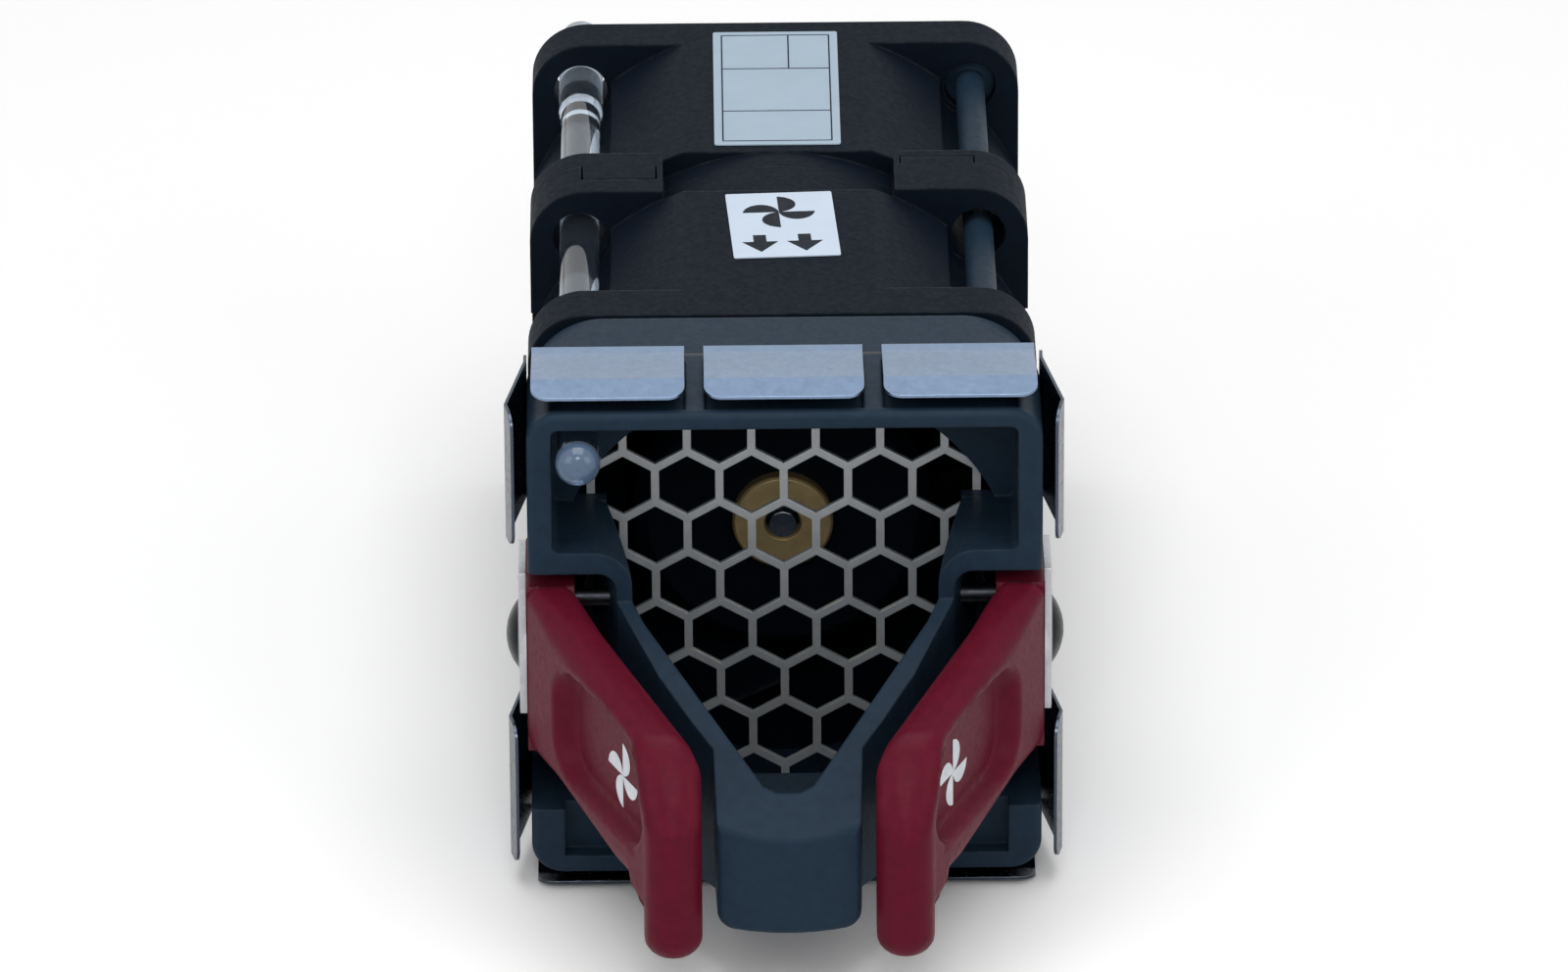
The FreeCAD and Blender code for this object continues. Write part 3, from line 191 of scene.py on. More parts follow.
def mesh_from_grid(name, points, closed=False):
    """A mesh from an array of rows by columns by 3: one four-sided face per grid cell, and
    one more column of faces that joins the last column to the first if it is closed."""
    rows, columns = points.shape[:2]
    index = np.arange(rows * columns).reshape(rows, columns)
    if closed:
        index = np.concatenate([index, index[:, :1]], axis=1)
    faces = np.stack([index[:-1, :-1], index[:-1, 1:], index[1:, 1:], index[1:, :-1]], axis=-1)
    mesh = bpy.data.meshes.new(name)
    mesh.from_pydata(points.reshape(-1, 3), [], faces.reshape(-1, 4))
    mesh.validate()
    piece = bpy.data.objects.new(name, mesh)
    bpy.context.scene.collection.objects.link(piece)
    return piece


def merged(name, pieces):
    """One piece from several, by joining their vertex and face arrays."""
    corners, faces, start = [], [], 0
    for piece in pieces:
        mesh = piece.data
        spots = np.empty(len(mesh.vertices) * 3)
        mesh.vertices.foreach_get("co", spots)
        loops = np.empty(len(mesh.loops), int)
        mesh.loops.foreach_get("vertex_index", loops)
        corners.append(spots.reshape(-1, 3))
        faces.append(loops.reshape(-1, 4) + start)
        start += len(mesh.vertices)
        bpy.data.objects.remove(piece)
    mesh = bpy.data.meshes.new(name)
    mesh.from_pydata(np.concatenate(corners), [], np.concatenate(faces))
    joined = bpy.data.objects.new(name, mesh)
    bpy.context.scene.collection.objects.link(joined)
    return joined


def laid(flat, origin, across, along, lift=0.0):
    """Points of a flat pattern (x, y) laid on a plane: origin + x across + y along, lifted
    along the plane's normal."""
    across, along = np.array(across, float), np.array(along, float)
    normal = np.cross(across, along)
    return (np.array(origin, float) + flat[..., :1] * across + flat[..., 1:2] * along
            + lift * normal)


def thick(piece, depth):
    """Give a sheet its thickness outward from the face it lies on."""
    solid = piece.modifiers.new("thickness", "SOLIDIFY")
    solid.thickness = depth
    solid.offset = 1.0
    return piece


def rounded_sheet(width, length, corner, count=25):
    """A rounded rectangle as a grid: each row runs between the two sides, and near the ends
    the half width shrinks by corner - sqrt(corner^2 - t^2), with t the depth into the corner."""
    edge = corner * (1 - np.cos(np.linspace(0, np.pi / 2, 7)))
    y = np.unique(np.concatenate([edge, np.linspace(corner, length - corner, count),
                                  length - edge])) - length / 2
    into = np.clip(np.abs(y) - (length / 2 - corner), 0, corner)
    half = width / 2 - corner + np.sqrt(np.maximum(corner ** 2 - into ** 2, 0))
    u = np.linspace(-1, 1, 13)
    return np.stack([half[:, None] * u, np.repeat(y[:, None], len(u), 1)], axis=-1)


def bar(x, y, width, height):
    """A plain rectangle of the print, as a 2 by 2 grid about (x, y)."""
    u, v = np.meshgrid([-0.5, 0.5], [-0.5, 0.5])
    return np.stack([x + width * u, y + height * v], axis=-1)


def petal(size, turn, count=17):
    """One blade of the fan symbol.  Its leading edge is a straight line from the hub at the
    given turn.  The width beside that line, on the clockwise side, grows and falls with the
    share t of the way out as (4 t (1 - t)) to the power 0.6, so the tip is a sharp corner."""
    t = np.linspace(0.012, 0.994, count)[:, None]
    s = np.linspace(0.0, 1.0, 5)[None, :]
    reach = size / 2 * t
    wide = s * size * 0.245 * (4 * t * (1 - t)) ** 0.6
    return np.stack([reach * np.cos(turn) + wide * np.sin(turn),
                     reach * np.sin(turn) - wide * np.cos(turn)], axis=-1)


def fan_symbol(size, x=0.0, y=0.0):
    """Four blades a quarter turn apart about (x, y)."""
    return [petal(size, quarter * math.pi / 2) + np.array([x, y]) for quarter in range(4)]


def arrow(x, y, width, length):
    """An arrow that points to -y, in two grids: a head whose half width grows in a straight
    line from the tip over three fifths of the length, and a shaft a third as wide."""
    u = np.linspace(-1, 1, 3)
    steps, half = np.array([-0.5, 0.1]), np.array([0.002, 0.5])
    head = np.stack([x + width * half[:, None] * u,
                     np.repeat((y + length * steps)[:, None], len(u), 1)], axis=-1)
    return [head, bar(x, y + length * 0.3, width * 0.36, length * 0.4)]


def printed(name, shapes, origin, across, along, lift, depth):
    """Flat patterns laid on one plane and joined into one piece of print."""
    pieces = [mesh_from_grid(f"{name}_{i}", laid(shape, origin, across, along, lift))
              for i, shape in enumerate(shapes)]
    return thick(merged(name, pieces), depth)


def face_plane(piece, start, direction, side_a, side_b):
    """The plane of a piece's face that a ray meets: the hit point and two unit vectors in the
    face, the first along side_a as seen from outside."""
    mesh = piece.data
    tree = BVHTree.FromPolygons([v.co for v in mesh.vertices], [p.vertices for p in mesh.polygons])
    spots = [tree.ray_cast(Vector(start) + Vector(step), Vector(direction))[0]
             for step in ((0, 0, 0), side_a, side_b)]
    if None in spots:
        raise RuntimeError(f"no face of {piece.name} where its symbol goes")
    first = (spots[1] - spots[0]).normalized()
    second = (spots[2] - spots[0])
    second = (second - first * second.dot(first)).normalized()
    return spots[0], first, second


# ---- materials --------------------------------------------------------------------------

def pattern(tree, kind, scale, stretch=(1, 1, 1), **inputs):
    """A procedural texture on the piece's own coordinates.  Names in small letters are the
    texture's settings and the others its sockets."""
    place = tree.nodes.new("ShaderNodeTexCoord")
    mapping = tree.nodes.new("ShaderNodeMapping")
    mapping.inputs["Scale"].default_value = stretch
    tree.links.new(place.outputs["Object"], mapping.inputs["Vector"])
    texture = tree.nodes.new("ShaderNodeTex" + kind)
    texture.inputs["Scale"].default_value = scale
    for name, value in inputs.items():
        if name.islower():
            setattr(texture, name, value)
        else:
            texture.inputs[name.replace("_", " ")].default_value = value
    tree.links.new(mapping.outputs["Vector"], texture.inputs["Vector"])
    return texture.outputs["Fac"]


def finish(name, colour, mottle, rough, grain, depth, round_edge=0.0, blotch=900, stretch=(1, 1, 1),
           grain_stretch=None, wave=None, wear=0.0, **sockets):
    """One finish.  Slow noise shifts the colour by the mottle either way, middling noise moves
    the roughness between two values, and fine noise or a wave raises a relief of the depth.
    Wear is how much lighter the colour turns along the edges: the angle between the flat
    normal and the softened one is largest there, and noise breaks it up."""
    material = bpy.data.materials.new(name)
    material.use_nodes = True
    tree = material.node_tree
    shader = tree.nodes["Principled BSDF"]
    for socket, value in sockets.items():
        shader.inputs[socket.replace("_", " ")].default_value = value
    slow = pattern(tree, "Noise", blotch, stretch, Detail=4.0, Roughness=0.6)
    ramp = tree.nodes.new("ShaderNodeValToRGB")
    for stop, place, share in zip(ramp.color_ramp.elements, (0.32, 0.68), (1 - mottle, 1 + mottle)):
        stop.position = place
        stop.color = (*[min(1.0, c * share) for c in colour], 1.0)
    tree.links.new(slow, ramp.inputs["Fac"])
    tinted = ramp.outputs["Color"]
    uneven = pattern(tree, "Noise", blotch * 2.3, stretch, Detail=3.0)
    roughness = spread(tree, uneven, 0.3, 0.7, *rough)
    relief = tree.nodes.new("ShaderNodeBump")
    relief.inputs["Strength"].default_value = 1.0
    relief.inputs["Distance"].default_value = depth
    fine = (pattern(tree, "Wave", grain, **wave) if wave
            else pattern(tree, "Noise", grain, grain_stretch or stretch, Detail=2.0))
    tree.links.new(fine, relief.inputs["Height"])
    if round_edge:
        edge = tree.nodes.new("ShaderNodeBevel")
        edge.samples = 6
        edge.inputs["Radius"].default_value = round_edge
        tree.links.new(edge.outputs["Normal"], relief.inputs["Normal"])
        if wear:
            worn = edge_wear(tree, edge, blotch)
            mix = tree.nodes.new("ShaderNodeMix")
            mix.data_type = "RGBA"
            tree.links.new(worn, mix.inputs["Factor"])
            tree.links.new(tinted, mix.inputs["A"])
            mix.inputs["B"].default_value = (*[min(1.0, c + wear) for c in colour], 1.0)
            tinted = mix.outputs["Result"]
            smoother = tree.nodes.new("ShaderNodeMath")
            smoother.operation = "MULTIPLY_ADD"
            smoother.inputs[1].default_value = -0.1
            tree.links.new(worn, smoother.inputs[0])
            tree.links.new(roughness, smoother.inputs[2])
            roughness = smoother.outputs[0]
    tree.links.new(tinted, shader.inputs["Base Color"])
    tree.links.new(roughness, shader.inputs["Roughness"])
    tree.links.new(relief.outputs["Normal"], shader.inputs["Normal"])
    return material


def spread(tree, value, low, high, to_low, to_high):
    """A value between two limits, moved to two others and kept between them."""
    node = tree.nodes.new("ShaderNodeMapRange")
    for socket, number in (("From Min", low), ("From Max", high), ("To Min", to_low),
                           ("To Max", to_high)):
        node.inputs[socket].default_value = number
    tree.links.new(value, node.inputs["Value"])
    return node.outputs["Result"]


def edge_wear(tree, edge, blotch):
    """A mask of rubbed edges: one less the cosine between the two normals, times noise."""
    flat = tree.nodes.new("ShaderNodeNewGeometry")
    cosine = tree.nodes.new("ShaderNodeVectorMath")
    cosine.operation = "DOT_PRODUCT"
    tree.links.new(edge.outputs["Normal"], cosine.inputs[0])
    tree.links.new(flat.outputs["True Normal"], cosine.inputs[1])
    turned = spread(tree, cosine.outputs["Value"], 0.985, 0.80, 0.0, 1.0)
    patchy = spread(tree, pattern(tree, "Noise", blotch * 0.9, Detail=5.0), 0.38, 0.62, 0.15, 1.0)
    both = tree.nodes.new("ShaderNodeMath")
    both.operation = "MULTIPLY"
    tree.links.new(turned, both.inputs[0])
    tree.links.new(patchy, both.inputs[1])
    return both.outputs[0]


def round_mask(tree, centre, keep, radius, soft):
    """One within a radius of a line, falling to nothing over the soft width: the length of the
    offset from the centre, with the axis that isn't kept left out."""
    place = tree.nodes.new("ShaderNodeTexCoord")
    mapping = tree.nodes.new("ShaderNodeMapping")
    mapping.inputs["Scale"].default_value = keep
    mapping.inputs["Location"].default_value = [-c * k for c, k in zip(centre, keep)]
    tree.links.new(place.outputs["Object"], mapping.inputs["Vector"])
    away = tree.nodes.new("ShaderNodeVectorMath")
    away.operation = "LENGTH"
    tree.links.new(mapping.outputs["Vector"], away.inputs[0])
    return spread(tree, away.outputs["Value"], radius - soft, radius, 1.0, 0.0)


def tint(material, mask, colour):
    """Lay a second colour over a finish where the mask is one."""
    tree = material.node_tree
    socket = tree.nodes["Principled BSDF"].inputs["Base Color"]
    mix = tree.nodes.new("ShaderNodeMix")
    mix.data_type = "RGBA"
    tree.links.new(mask, mix.inputs["Factor"])
    tree.links.new(socket.links[0].from_socket, mix.inputs["A"])
    mix.inputs["B"].default_value = (*colour, 1.0)
    tree.links.new(mix.outputs["Result"], socket)
    return material


def catch_finish():
    """Bright spring steel, with painted shade: its round catch dimples are painted dark in the
    colour.
    """
    low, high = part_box("left_catch_plate")
    dimple_low, dimple_radius, soft = 0.55 * MM, 2.9 * MM, 0.25 * MM
    middle = (low + high) / 2 - Vector((0, 0, dimple_low))
    plate = metal("catch_plate_steel", from_screen(196, 198, 202), (0.26, 0.38))
    # Painted shade: a dark disc laid into the colour over each catch dimple
    mask = round_mask(plate.node_tree, middle, (0, 1, 1), dimple_radius, soft)
    return tint(plate, mask, from_screen(26, 30, 34))


def grille_finish(colour):
    """Stamped stainless sheet, with painted shade: dark outside the duct, round its corners."""
    duct, soft = 19.3 * MM, 0.3 * MM
    sheet = metal("stamped_stainless", colour, (0.34, 0.46), bare=0.4)
    mask = round_mask(sheet.node_tree, (0, 0, 0), (1, 0, 1), duct, soft)
    # Painted shade on the sheet's corners outside the round duct
    rim = one_less(sheet.node_tree, mask)
    return tint(sheet, rim, from_screen(40, 44, 50))


def one_less(tree, value):
    """One less a value."""
    node = tree.nodes.new("ShaderNodeMath")
    node.operation = "SUBTRACT"
    node.inputs[0].default_value = 1.0
    tree.links.new(value, node.inputs[1])
    return node.outputs[0]


def pipe_finish():
    """Clear acrylic, milky and pale blue in the lens at the front end."""
    pipe = finish("clear_acrylic", from_screen(196, 212, 228), 0.02, (0.02, 0.07), 1500,
                  0.0006 * MM, 0.05 * MM)
    tree = pipe.node_tree
    shader = tree.nodes["Principled BSDF"]
    shader.inputs["IOR"].default_value = 1.49
    place = tree.nodes.new("ShaderNodeTexCoord")
    axes = tree.nodes.new("ShaderNodeSeparateXYZ")
    tree.links.new(place.outputs["Object"], axes.inputs["Vector"])
    front, lens_end, clear_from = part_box("light_pipe")[0].y, 1.4 * MM, 2.2 * MM
    milky = spread(tree, axes.outputs["Y"], front + clear_from, front + lens_end, 0.0, 1.0)
    clear = spread(tree, milky, 0.0, 1.0, 0.98, 0.55)
    tree.links.new(clear, shader.inputs["Transmission Weight"])
    return tint(pipe, milky, from_screen(118, 146, 182))


def moulded(name, colour, rough=(0.42, 0.56), depth=0.004 * MM, round_edge=0.3 * MM, wear=0.02,
            shine=0.08, **sockets):
    """Injection-moulded plastic with a fine spark-eroded grain and soft, slightly rubbed edges."""
    return finish(name, colour, 0.10, rough, 5200, depth, round_edge, wear=wear,
                  Specular_IOR_Level=shine, **sockets)


def metal(name, colour, rough, grain=4200, depth=0.002 * MM, stretch=(1, 1, 1), wear=0.1, bare=1.0,
          **more):
    """Bare metal, or a duller one at a lower share; a stretch draws the noise out into brushing."""
    return finish(name, colour, 0.06, rough, grain, depth, 0.08 * MM, stretch=stretch, wear=wear,
                  Metallic=bare, **more)


def node_finishes(colours):
    """A finish for every material slot of the record.  Rings are the tool marks round the fan's
    axis, and bands the edges of stacked sheets and turns of wire."""
    rings = {"wave_type": "RINGS", "rings_direction": "Y", "Distortion": 0.4, "Detail": 1.0}
    bands = {"wave_type": "BANDS", "bands_direction": "Y", "Distortion": 0.2}
    return {
        "bezel_plastic": moulded("blue_grey_moulding", colours.bezel, (0.36, 0.5)),
        "fan_plastic": moulded("black_moulding", colours.fan, (0.46, 0.62), shine=0.04),
        "grip_plastic": moulded("burgundy_moulding", colours.grip, (0.32, 0.44), 0.003 * MM,
                                round_edge=0.6 * MM, wear=0.04, shine=0.07, Coat_Weight=0.01,
                                Coat_Roughness=0.25),
        "grille_steel": grille_finish(colours.sheet),
        "finger_steel": metal("brushed_spring_strip", colours.finger, (0.26, 0.4), 900,
                              0.003 * MM, wear=0.03, grain_stretch=(14, 0.6, 14)),
        "spring_steel": metal("ground_spring_steel", from_screen(150, 153, 158), (0.28, 0.42)),
        "clear_pipe": pipe_finish(),
        "brass": metal("turned_brass", colours.brass, (0.28, 0.44), 2600, 0.004 * MM, bare=0.6,
                       wave=rings),
        "ferrite": finish("sintered_ferrite", from_screen(46, 44, 45), 0.15, (0.6, 0.75), 6000,
                          0.006 * MM),
        "laminations": metal("stacked_laminations", from_screen(140, 142, 146), (0.34, 0.5), 900,
                             0.02 * MM, wave=bands),
        "windings": metal("enamelled_windings", from_screen(178, 104, 62), (0.25, 0.4), 1400,
                          0.03 * MM, wave=bands),
        "board": finish("green_solder_mask", from_screen(26, 84, 52), 0.12, (0.25, 0.4), 3000,
                        0.003 * MM),
        "bearing_steel": metal("polished_bearing_steel", from_screen(176, 178, 182), (0.12, 0.24)),
        "connector_plastic": moulded("glossy_black_plug", from_screen(28, 29, 32), (0.2, 0.32),
                                     0.002 * MM, 0.15 * MM),
        "contact_plating": metal("plated_contacts", from_screen(206, 172, 96), (0.16, 0.28)),
    }


# ---- grips ------------------------------------------------------------------------------

GRIP_START, GRIP_END = -0.5 * MM, 22.0 * MM
SIDE_OUTSIDE, SIDE_INSIDE = 20.2 * MM, 16.4 * MM
CLOSING_OUTSIDE, CLOSING_INSIDE = 9.0 / 20.7, 9.7 / 19.1
BAR_MIDDLE, BAR_HALF, BAR_FROM, NOSE_ARC = 8.95 * MM, 2.25 * MM, 20.2 * MM, 2.306 * MM
PLATE_LOW, PLATE_FALL, PLATE_LENGTH = -9.2 * MM, 2.4 * MM, 14.6 * MM
REAR_EDGE = 1.2 * MM


def eased_low(first, second, width):
    """The lower of two curves, with their meeting rounded over a width: less the width times
    the logarithm of the sum of both curves' falling exponentials."""
    return -width * np.log(np.exp(-first / width) + np.exp(-second / width))


def smooth_step(value):
    """A share from 0 to 1 that starts and ends flat: 3 t squared less 2 t cubed."""
    t = np.clip(value, 0, 1)
    return t * t * (3 - 2 * t)


def section_ring(sides, corners):
    """Four arrays for a rounded rectangle: the share of the half width and half height of the
    corner's centre, and the two parts of the radius.  It runs round from the outer side's foot."""
    turns, along = np.linspace(0, np.pi / 2, corners), np.linspace(-1, 1, sides)
    flat, one = np.zeros(sides), np.ones(sides)
    share_x, share_z, part_x, part_z = [], [], [], []
    for quarter, (x, z) in enumerate(((1, along), (-along, 1), (-1, -along), (along, -1))):
        share_x += [one * x, np.full(corners, (1, -1, -1, 1)[quarter])]
        share_z += [one * z, np.full(corners, (1, 1, -1, -1)[quarter])]
        start = quarter * np.pi / 2
        part_x += [flat + np.cos(start), np.cos(start + turns)]
        part_z += [flat + np.sin(start), np.sin(start + turns)]
    return [np.concatenate(part) for part in (share_x, share_z, part_x, part_z)]


def grip_sides(d):
    """The two faces of a grip at distances ahead of the rim.  They close in straight lines on
    the bar, whose front is an arc in plan: the middle plus or less the root of the arc's radius
    squared less the way past its centre squared."""
    closing = np.sqrt(np.clip(NOSE_ARC ** 2 - (d - GRIP_END + NOSE_ARC) ** 2, 0, None))
    ahead, front = d - GRIP_START, d > BAR_FROM
    outer = np.where(front, BAR_MIDDLE + closing, SIDE_OUTSIDE - CLOSING_OUTSIDE * ahead)
    plate = np.maximum(SIDE_INSIDE - CLOSING_INSIDE * ahead, BAR_MIDDLE - BAR_HALF)
    return outer, np.where(front, BAR_MIDDLE - closing, plate)


def grip_heights(sizes, d):
    """Top and foot of a grip at distances ahead of the rim.  The top falls in a straight line
    and then bends over with the power 1.6 of the way to the front end.  The foot is the lower
    of the plate's slanting edge and the bar's half ellipse, eased into each other."""
    over = np.clip((d - sizes.shoulder) / (GRIP_END - sizes.shoulder), 0, 1)
    top = sizes.top - sizes.fall * d - sizes.shoulder_drop * over ** 1.6
    plate = PLATE_LOW - PLATE_FALL * np.clip(d, 0, PLATE_LENGTH) / PLATE_LENGTH
    foot_middle, foot_reach, foot_rise = 20.1 * MM, 1.9 * MM, 2.4 * MM
    rear_slope, rear_from = 3.4, 18.2 * MM
    across = np.clip((d - foot_middle) / foot_reach, -1, 1)
    bar_foot = (sizes.bar_low + foot_rise * (1 - np.sqrt(1 - across ** 2))
                + rear_slope * np.clip(rear_from - d, 0, None))
    return top, eased_low(plate, bar_foot, 0.4 * MM)


def recess_dent(sizes, d, z, top):
    """How far into the finger recess a point is, from 0 to 1.  The outline is a rounded
    rectangle: the distance to it is the length of the way past its corners' centres, less the
    corner radius.  Its walls rise over a slope."""
    below_top, slope, rim = 0.9 * MM, 0.95 * MM, 0.25 * MM
    high = eased_low(np.full_like(top, sizes.recess_top), top - below_top, 0.3 * MM)
    centre, reach = (high + sizes.recess_low) / 2, (high - sizes.recess_low) / 2
    across = np.abs(d - (sizes.recess_start + sizes.recess_end) / 2)
    past_d = across - (sizes.recess_end - sizes.recess_start) / 2 + sizes.recess_corner
    past_z = np.abs(z - centre[:, None]) - reach[:, None] + sizes.recess_corner
    past_d = np.repeat(past_d[:, None], past_z.shape[1], 1)
    outside = (np.hypot(np.maximum(past_d, 0), np.maximum(past_z, 0))
               + np.minimum(np.maximum(past_d, past_z), 0) - sizes.recess_corner)
    return smooth_step((rim - outside) / slope)


def bar_room(d, z):
    """The outer limit of a grip: the bar's own outer side at the foot, and far outside it for
    the plate, which is higher and further back."""
    bar_outside, plate_above, plate_behind = 11.2 * MM, -12.0 * MM, 18.0 * MM
    return (bar_outside + 2.0 * np.clip(z - plate_above, 0, None)
            + 8.0 * np.clip(plate_behind - d, 0, None)[:, None])


def grip_front(sizes, sign):
    """Points of one grip ahead of the rim, as sections square to the fan axis, close together
    at the front end.  Each section is a rounded rectangle between the grip's faces, top and
    foot, dented on its outer side by the recess and kept inside the bar's room below."""
    steps = 1 - np.cos(np.linspace(0, np.pi / 2, 34))
    nose = GRIP_END - 2.35 * MM * steps[::-1]
    d = np.concatenate([np.linspace(GRIP_START, 19.6 * MM, 110), nose])
    outer, inner = grip_sides(d)
    top, foot = grip_heights(sizes, d)
    wide, tall = (outer - inner) / 2, (top - foot) / 2
    grown = smooth_step(d / (5 * MM))
    edge = np.minimum(REAR_EDGE + (sizes.edge - REAR_EDGE) * grown, wide)
    share_x, share_z, part_x, part_z = section_ring(44, 7)
    x = ((outer + inner) / 2)[:, None] + share_x * (wide - edge)[:, None] + part_x * edge[:, None]
    z = ((top + foot) / 2)[:, None] + share_z * (tall - edge)[:, None] + part_z * edge[:, None]
    x = x - sizes.recess_depth * recess_dent(sizes, d, z, top) * np.clip(part_x, 0, 1)
    x = eased_low(x, bar_room(d, z), 0.12 * MM)
    y = np.repeat((RIM - d)[:, None], x.shape[1], 1)
    ring = np.stack([sign * x, y, z], axis=-1)
    ends = [np.repeat(row.mean(0)[None, None], ring.shape[1], 1) for row in (ring[0], ring[-1])]
    return np.concatenate([ends[0], ring, ends[1]])


def closed_shell(name, points):
    """A ring grid made into one closed shell: doubles merged, faces turned outward."""
    piece = mesh_from_grid(name, points, closed=True)
    shell = bmesh.new()
    shell.from_mesh(piece.data)
    bmesh.ops.remove_doubles(shell, verts=shell.verts, dist=2e-6)
    bmesh.ops.recalc_face_normals(shell, faces=shell.faces)
    shell.to_mesh(piece.data)
    shell.free()
    piece.data.shade_smooth()
    return piece


def rear_block(node, name):
    """A copy of the grip behind the rim: the merged copy is cut by a plane and capped."""
    behind = 0.3 * MM
    shell = bmesh.new()
    shell.from_mesh(NODES[node].data)
    bmesh.ops.remove_doubles(shell, verts=shell.verts, dist=1e-6)
    everything = shell.verts[:] + shell.edges[:] + shell.faces[:]
    bmesh.ops.bisect_plane(shell, geom=everything, plane_co=(0, RIM + behind, 0),
                           plane_no=(0, -1, 0), clear_outer=True)
    bmesh.ops.holes_fill(shell, edges=[e for e in shell.edges if e.is_boundary])
    mesh = bpy.data.meshes.new(name)
    shell.to_mesh(mesh)
    shell.free()
    piece = bpy.data.objects.new(name, mesh)
    bpy.context.scene.collection.objects.link(piece)
    return piece


# ---- operators --------------------------------------------------------------------------

class FinishOperator(bpy.types.Operator):
    """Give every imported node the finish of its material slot"""

    bl_idname = "fan_module.finishes"
    bl_label = "Finishes"

    def execute(self, context):
        made = node_finishes(context.scene.fan_module_colours)
        # Painted shade: the side and bottom fingers get a darker copy of the finger steel
        own = {"catch_plate": catch_finish(),
               "guide_pins": metal("blued_pins", from_screen(58, 60, 66), (0.3, 0.45)),
               "return_spring": metal("blued_leaf", from_screen(66, 70, 78), (0.3, 0.45)),
               "finger_left": metal("polished_side_strip_painted_shade", from_screen(74, 82, 94), (0.16, 0.3))}
        own["finger_right"] = own["finger_bottom"] = own["finger_left"]
        for name, node in NODES.items():
            special = next((own[word] for word in own if word in name), None)
            node.data.materials.clear()
            node.data.materials.append(special or made[SLOT_OF[name]])
        return {"FINISHED"}


class GripOperator(bpy.types.Operator):
    """Build the two moulded grips, each with its block behind the bar"""

    bl_idname = "fan_module.grips"
    bl_label = "Grips"

    def execute(self, context):
        sizes = context.scene.fan_module_grips
        for side, sign in (("left", -1), ("right", 1)):
            node = f"{side}_grip"
            pieces = (closed_shell(f"{side}_moulded_grip", grip_front(sizes, sign)),
                      rear_block(node, f"{side}_grip_block"))
            for piece in pieces:
                piece.data.materials.clear()
                piece.data.materials.append(NODES[node].data.materials[0])
                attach(piece, node)
                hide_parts(node)
        return {"FINISHED"}


def paper_finish(name, colour):
    """Matt label paper."""
    return finish(name, tuple(colour), 0.03, (0.42, 0.6), 3800, 0.003 * MM, blotch=260,
                  Specular_IOR_Level=0.2)


def ink_finish(colour, name="label_ink"):
    """Dull print, in one colour."""
    return finish(name, tuple(colour), 0.08, (0.45, 0.6), 3000, 0.001 * MM, blotch=600,
                  Specular_IOR_Level=0.06)


def top_of(node):
    """Height of a node's highest point."""
    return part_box(node)[1].z


class RatingLabelOperator(bpy.types.Operator):
    """Lay the large label, ruled but without words, on the rear half"""

    bl_idname = "fan_module.rating_label"
    bl_label = "Rating label"

    def execute(self, context):
        sizes = context.scene.fan_module_labels
        colours = context.scene.fan_module_colours
        width, length = sizes.rating_width, sizes.rating_length
        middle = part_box("rear_housing")[1].y - sizes.rating_back - length / 2
        origin = (0.0, middle, top_of("rear_housing"))
        axes = ((1, 0, 0), (0, 1, 0))
        flat = rounded_sheet(width, length, 0.25 * MM)
        label = thick(mesh_from_grid("rating_label", laid(flat, origin, *axes, GLUE)),
                      sizes.paper)
        label.data.materials.append(paper_finish("rating_label_paper", colours.rating_label))
        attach(label, "body")
        rule, inset = 0.12 * MM, 0.7 * MM
        w, h = width - 2 * inset, length - 2 * inset
        shapes = [bar(0, s * h / 2, w, rule) for s in (-1, 1)]
        shapes += [bar(s * w / 2, 0, rule, h) for s in (-1, 1)]
        shapes += [bar(0, h * f, w, rule) for f in (-0.22, 0.18)]
        shapes += [bar(w * 0.12, h * 0.34, rule, h * 0.32)]
        ink = printed("rating_label_rules", shapes, origin, *axes,
                      GLUE + sizes.paper, sizes.print_lift)
        ink.data.materials.append(ink_finish(colours.ink, "rule_ink"))
        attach(ink, "body")
        return {"FINISHED"}


class AirflowLabelOperator(bpy.types.Operator):
    """Lay the small label with a fan symbol and two arrows on the front half"""

    bl_idname = "fan_module.airflow_label"
    bl_label = "Airflow label"

    def execute(self, context):
        sizes = context.scene.fan_module_labels
        colours = context.scene.fan_module_colours
        width, length, turn = sizes.airflow_width, sizes.airflow_length, sizes.airflow_turn
        origin = (sizes.airflow_aside, -sizes.airflow_place, top_of("front_housing"))
        axes = ((math.cos(turn), math.sin(turn), 0), (-math.sin(turn), math.cos(turn), 0))
        flat = rounded_sheet(width, length, 0.2 * MM)
        label = thick(mesh_from_grid("airflow_label", laid(flat, origin, *axes, GLUE)),
                      sizes.paper)
        label.data.materials.append(paper_finish("airflow_label_paper", colours.airflow_label))
        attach(label, "body")
        fan = fan_symbol(width * 0.68, -width * 0.02, length * 0.195)
        arrows = [part for x in (-0.235, 0.185)
                  for part in arrow(x * width, -length * 0.29, width * 0.335, length * 0.26)]
        ink = printed("airflow_label_print", fan + arrows, origin, *axes,
                      GLUE + sizes.paper, sizes.print_lift)
        ink.data.materials.append(ink_finish(colours.ink))
        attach(ink, "body")
        return {"FINISHED"}


